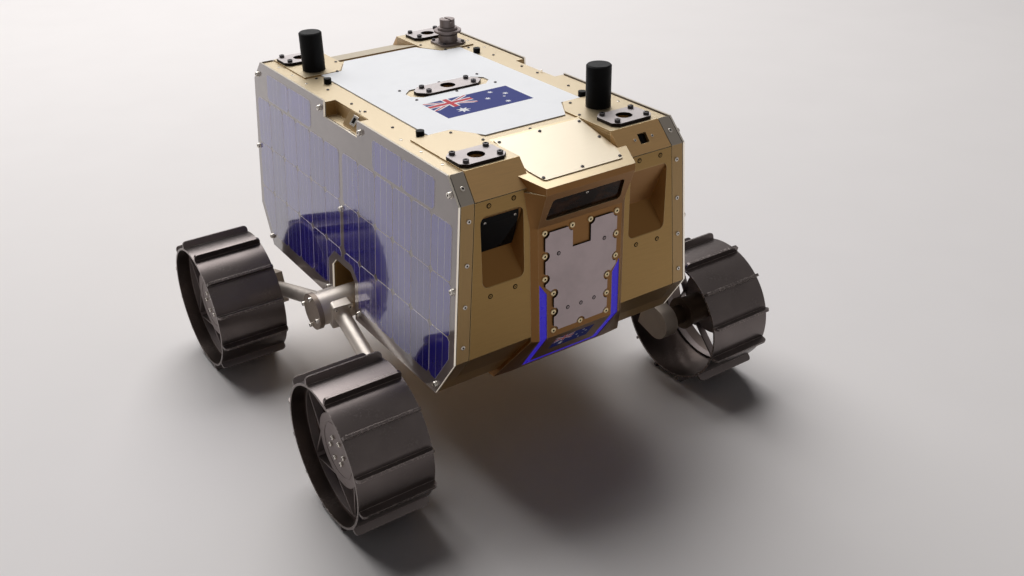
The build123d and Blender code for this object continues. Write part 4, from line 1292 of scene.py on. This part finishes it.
def sensor_module():
    """Square bright sensor block with a dark window in its middle and a screw at each side."""
    width, thick, rim = 13.0 * MM, 1.4 * MM, 0.3 * MM
    border, sunk, screw_y = 2.6 * MM, 0.5 * MM, 13.5 * MM
    deselect_all()
    bpy.ops.mesh.primitive_cube_add(size=1, location=(0, 0, thick / 2), scale=(width, width, thick))
    block = bpy.context.object
    fix_transform(block)
    select_faces(block, lambda face: face.normal.z > 0.9)
    bpy.ops.mesh.bevel(offset=rim, segments=2, affect="EDGES")
    select_faces(block, lambda face: face.normal.z > 0.99)
    bpy.ops.mesh.inset(thickness=border)
    bpy.ops.mesh.extrude_region_move(TRANSFORM_OT_translate={"value": (0, 0, -sunk)})
    bpy.ops.object.mode_set(mode="OBJECT")
    coat(block, "stainless_steel", "coated_dark_glass")
    for face in block.data.polygons:
        x, y = face.center.xy
        window = max(abs(x), abs(y)) < width / 2 - border and face.normal.z > 0.9
        face.material_index = 1 if window else 0
    screws = []
    for y in (-screw_y, screw_y):
        screw = socket_screw(
            radius=1.6 * MM, height=0.9 * MM, rim=0.4 * MM, socket=0.8 * MM, material="stainless_steel"
        )
        screw.location = (0, y, 0)
        screws.append(screw)
    return join("sensor_module", [block, *screws])


class ROVER_OT_flags(bpy.types.Operator):
    """Flag decals on the radiator and under the nose plate"""

    bl_idname = "rover.flags"
    bl_label = "Flag decals"

    def execute(self, context):
        sizes = context.scene.rover_decals
        # Middle of the free place on the radiator, and distance of the nose's flag down its slope
        deck_y, down = -73.5, 27.0
        on_deck = Matrix.Translation(Vector((0, deck_y, RADIATOR_Z)) * MM)
        flag("deck_flag", sizes.deck_width, sizes.deck_height, sizes.film, on_deck)
        normal, up = leaning(*KEEL_LEAN)
        middle = Vector((0, -NOSE_FACE_Y, KEEL_TOP_Z)) - up * down
        turn = Matrix((Vector((1, 0, 0)), up, normal)).transposed().to_4x4()
        on_nose = Matrix.Translation(middle * MM) @ turn
        flag("nose_flag", sizes.nose_width, sizes.nose_height, sizes.film, on_nose)
        return {"FINISHED"}


def flat_bar(wide, high, x, y, angle, bottom, thick, material):
    """Thin printed bar on the XY plane, turned about its middle."""
    deselect_all()
    bpy.ops.mesh.primitive_cube_add(
        size=1, location=(x, y, bottom + thick / 2), rotation=(0, 0, angle), scale=(wide, high, thick)
    )
    bar = bpy.context.object
    fix_transform(bar)
    coat(bar, material)
    return bar


def trim(bar, low, high):
    """Cuts a bar off at those sides of a rectangle that it passes, and closes it. A side that the bar only
    reaches is left, since a cut there would double the bar's end."""
    walls = ((0, low[0], -1), (0, high[0], 1), (1, low[1], -1), (1, high[1], 1))
    for axis, wall, way in walls:
        past = max(way * (vertex.co[axis] - wall) for vertex in bar.data.vertices)
        if past < 0.001 * MM:
            continue
        point, outwards = Vector((0, 0, 0)), Vector((0, 0, 0))
        point[axis], outwards[axis] = wall, way
        pick(bar)
        bpy.ops.object.mode_set(mode="EDIT")
        bpy.ops.mesh.select_all(action="SELECT")
        bpy.ops.mesh.bisect(plane_co=point, plane_no=outwards, use_fill=True, clear_outer=True)
        bpy.ops.object.mode_set(mode="OBJECT")
    return bar


def star(points, radius, x, y, bottom, thick):
    """Printed star, drawn from a circle with every second corner pulled in."""
    inner = 0.45  # radius between the points, as a share of the radius at the points
    deselect_all()
    bpy.ops.mesh.primitive_circle_add(
        vertices=2 * points, radius=radius, fill_type="NGON", location=(0, 0, bottom)
    )
    shape = bpy.context.object
    pick(shape)
    bpy.ops.object.mode_set(mode="EDIT")
    bpy.ops.mesh.select_mode(type="VERT")
    bpy.ops.mesh.select_all(action="DESELECT")
    mesh = bmesh.from_edit_mesh(shape.data)
    mesh.verts.ensure_lookup_table()
    for vertex in mesh.verts:
        vertex.select_set(vertex.index % 2 == 1)
    bmesh.update_edit_mesh(shape.data)
    bpy.ops.transform.resize(value=(inner, inner, 1), center_override=(0, 0, bottom))
    bpy.ops.mesh.select_all(action="SELECT")
    bpy.ops.mesh.extrude_region_move(TRANSFORM_OT_translate={"value": (0, 0, thick)})
    bpy.ops.mesh.select_all(action="SELECT")
    bpy.ops.mesh.normals_make_consistent(inside=False)
    bpy.ops.object.mode_set(mode="OBJECT")
    shape.location = (x, y, bottom)
    fix_transform(shape)
    coat(shape, "decal_ink_white")
    return shape


def flag(name, wide, high, film, place):
    """National flag of layered print: a blue field, crosses in its upper corner, and stars."""
    layers = [flat_bar(wide, high, 0, 0, 0, 0, film, "decal_ink_blue")]
    layer = film * 0.4  # each print over the field
    low, top = (-wide / 2, 0), (0, high / 2)
    x, y = -wide / 4, high / 4
    diagonal = (wide**2 + high**2) ** 0.5 / 2
    lean = Vector((wide, high)).angle_signed(Vector((1, 0)))
    diagonals = ((diagonal, lean), (diagonal, -lean))
    upright = ((wide / 2, 0), (high / 2, pi / 2))
    # Bars of each cross, their width as a share of the flag's height, and their ink
    crosses = (
        (diagonals, 0.1, "decal_ink_white"),
        (diagonals, 0.034, "decal_ink_red"),
        (upright, 0.166, "decal_ink_white"),
        (upright, 0.1, "decal_ink_red"),
    )
    bars = [(*bar, share * high, ink) for pair, share, ink in crosses for bar in pair]
    for level, (across, angle, thick, ink) in enumerate(bars):
        bar = flat_bar(across, thick, x, y, angle, film + level * layer, layer, ink)
        layers.append(trim(bar, low, top))
    # Radius as a share of the height, points, then the place from the flag's middle
    stars = (
        (0.15, 7, -0.25, -0.25),
        (0.071, 7, 0.25, -0.333),
        (0.071, 7, 0.125, 0.0313),
        (0.071, 7, 0.25, 0.333),
        (0.071, 7, 0.361, 0.1),
        (0.042, 5, 0.3, -0.042),
    )
    for size, points, across, up in stars:
        layers.append(star(points, size * high, across * wide, up * high, film, layer))
    decal = join(name, layers)
    decal.matrix_world = place
    fix_transform(decal)
    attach(decal, "rover_body")


class ROVER_OT_studio(bpy.types.Operator):
    """Pale floor, soft lamps, surroundings and the camera"""

    bl_idname = "rover.studio"
    bl_label = "Studio"

    def execute(self, context):
        settings = context.scene.rover_stage
        deselect_all()
        bpy.ops.mesh.primitive_plane_add(size=24, location=(0, 0, 0))
        floor = context.object
        floor.name = "studio_floor"
        # Smooth plaster: an even matt white that bounces light up, with the faintest clouding
        tree = new_material("pale_floor")
        shade = mixed(tree, grain(tree, 160), settings.floor, toned(settings.floor, 0.96))
        set_shader(tree, {"Base Color": shade, "Roughness": 0.85})
        coat(floor, "pale_floor")

        self.surroundings(context.scene, settings)
        # Name, place, width and height in metres, and power
        lamps = (
            ("key_lamp", (0.5, 2.9, 4.3), (5.5, 4.5), settings.key_power),
            ("front_lamp", (-2.2, -1.6, 1.6), (2.0, 2.0), settings.front_power),
        )
        aim = Vector((0, 0, 0.2))
        for name, place, size, power in lamps:
            bpy.ops.object.light_add(type="AREA", location=place)
            lamp = context.object
            lamp.name = name
            lamp.data.shape = "RECTANGLE"
            lamp.data.size, lamp.data.size_y = size
            lamp.data.energy = power
            lamp.visible_camera = False
            lamp.rotation_euler = (aim - Vector(place)).to_track_quat("-Z", "Y").to_euler()

        yaw, pitch, roll = settings.camera_turn
        turn = Matrix.Rotation(yaw, 3, "Z") @ Matrix.Rotation(pi / 2 + pitch, 3, "X")
        turn = turn @ Matrix.Rotation(roll, 3, "Z")
        bpy.ops.object.camera_add(location=settings.camera_place, rotation=turn.to_euler())
        camera = context.object
        camera.data.sensor_width = 36
        camera.data.lens = settings.camera_lens
        context.scene.camera = camera
        context.scene.view_settings.view_transform = "Standard"
        return {"FINISHED"}

    def surroundings(self, scene, settings):
        """A world that fills softly, and that eye, metal and glass see as a pale backdrop."""
        world = bpy.data.worlds.new("studio_surroundings")
        scene.world = world
        world.use_nodes = True
        tree = world.node_tree
        rays = add_node(tree, "LightPath", {})
        seen = computed(tree, "ADD", rays.outputs["Is Camera Ray"], rays.outputs["Is Glossy Ray"])
        seen = computed(tree, "ADD", seen, rays.outputs["Is Transmission Ray"])
        level = mixed(tree, ranged(tree, seen, 0, 1), settings.fill, settings.backdrop)
        set_inputs(tree, tree.nodes["Background"], {"Color": level, "Strength": 1.0})


OPERATORS = (
    ROVER_OT_finishes,
    ROVER_OT_deck_screws,
    ROVER_OT_end_screws,
    ROVER_OT_nose_screws,
    ROVER_OT_panel_screws,
    ROVER_OT_rocker_screws,
    ROVER_OT_hub_fittings,
    ROVER_OT_optics,
    ROVER_OT_flags,
    ROVER_OT_studio,
)


class ROVER_PT_sidebar(bpy.types.Panel):
    """Steps that dress the rover, in the order they are made"""

    bl_idname = "ROVER_PT_sidebar"
    bl_label = "Planetary rover"
    bl_space_type = "VIEW_3D"
    bl_region_type = "UI"
    bl_category = "Rover"

    def draw(self, context):
        column = self.layout.column()
        for operator in OPERATORS:
            column.operator(operator.bl_idname)
        for name in SETTINGS:
            group = getattr(context.scene, name)
            box = self.layout.box()
            for key in group.bl_rna.properties.keys():
                if key not in ("rna_type", "name"):
                    box.prop(group, key)


SETTINGS = {
    "rover_finishes": RoverFinishSettings,
    "rover_hardware": RoverHardwareSettings,
    "rover_decals": RoverDecalSettings,
    "rover_stage": RoverStageSettings,
}


def register():
    for one in (*SETTINGS.values(), *OPERATORS, ROVER_PT_sidebar):
        bpy.utils.register_class(one)
    for name, group in SETTINGS.items():
        setattr(bpy.types.Scene, name, bpy.props.PointerProperty(type=group))


def unregister():
    for name in SETTINGS:
        delattr(bpy.types.Scene, name)
    for one in reversed((*SETTINGS.values(), *OPERATORS, ROVER_PT_sidebar)):
        bpy.utils.unregister_class(one)


def main():
    register()
    for operator in OPERATORS:
        area, name = operator.bl_idname.split(".")
        getattr(getattr(bpy.ops, area), name)()


if __name__ == "__main__":
    main()
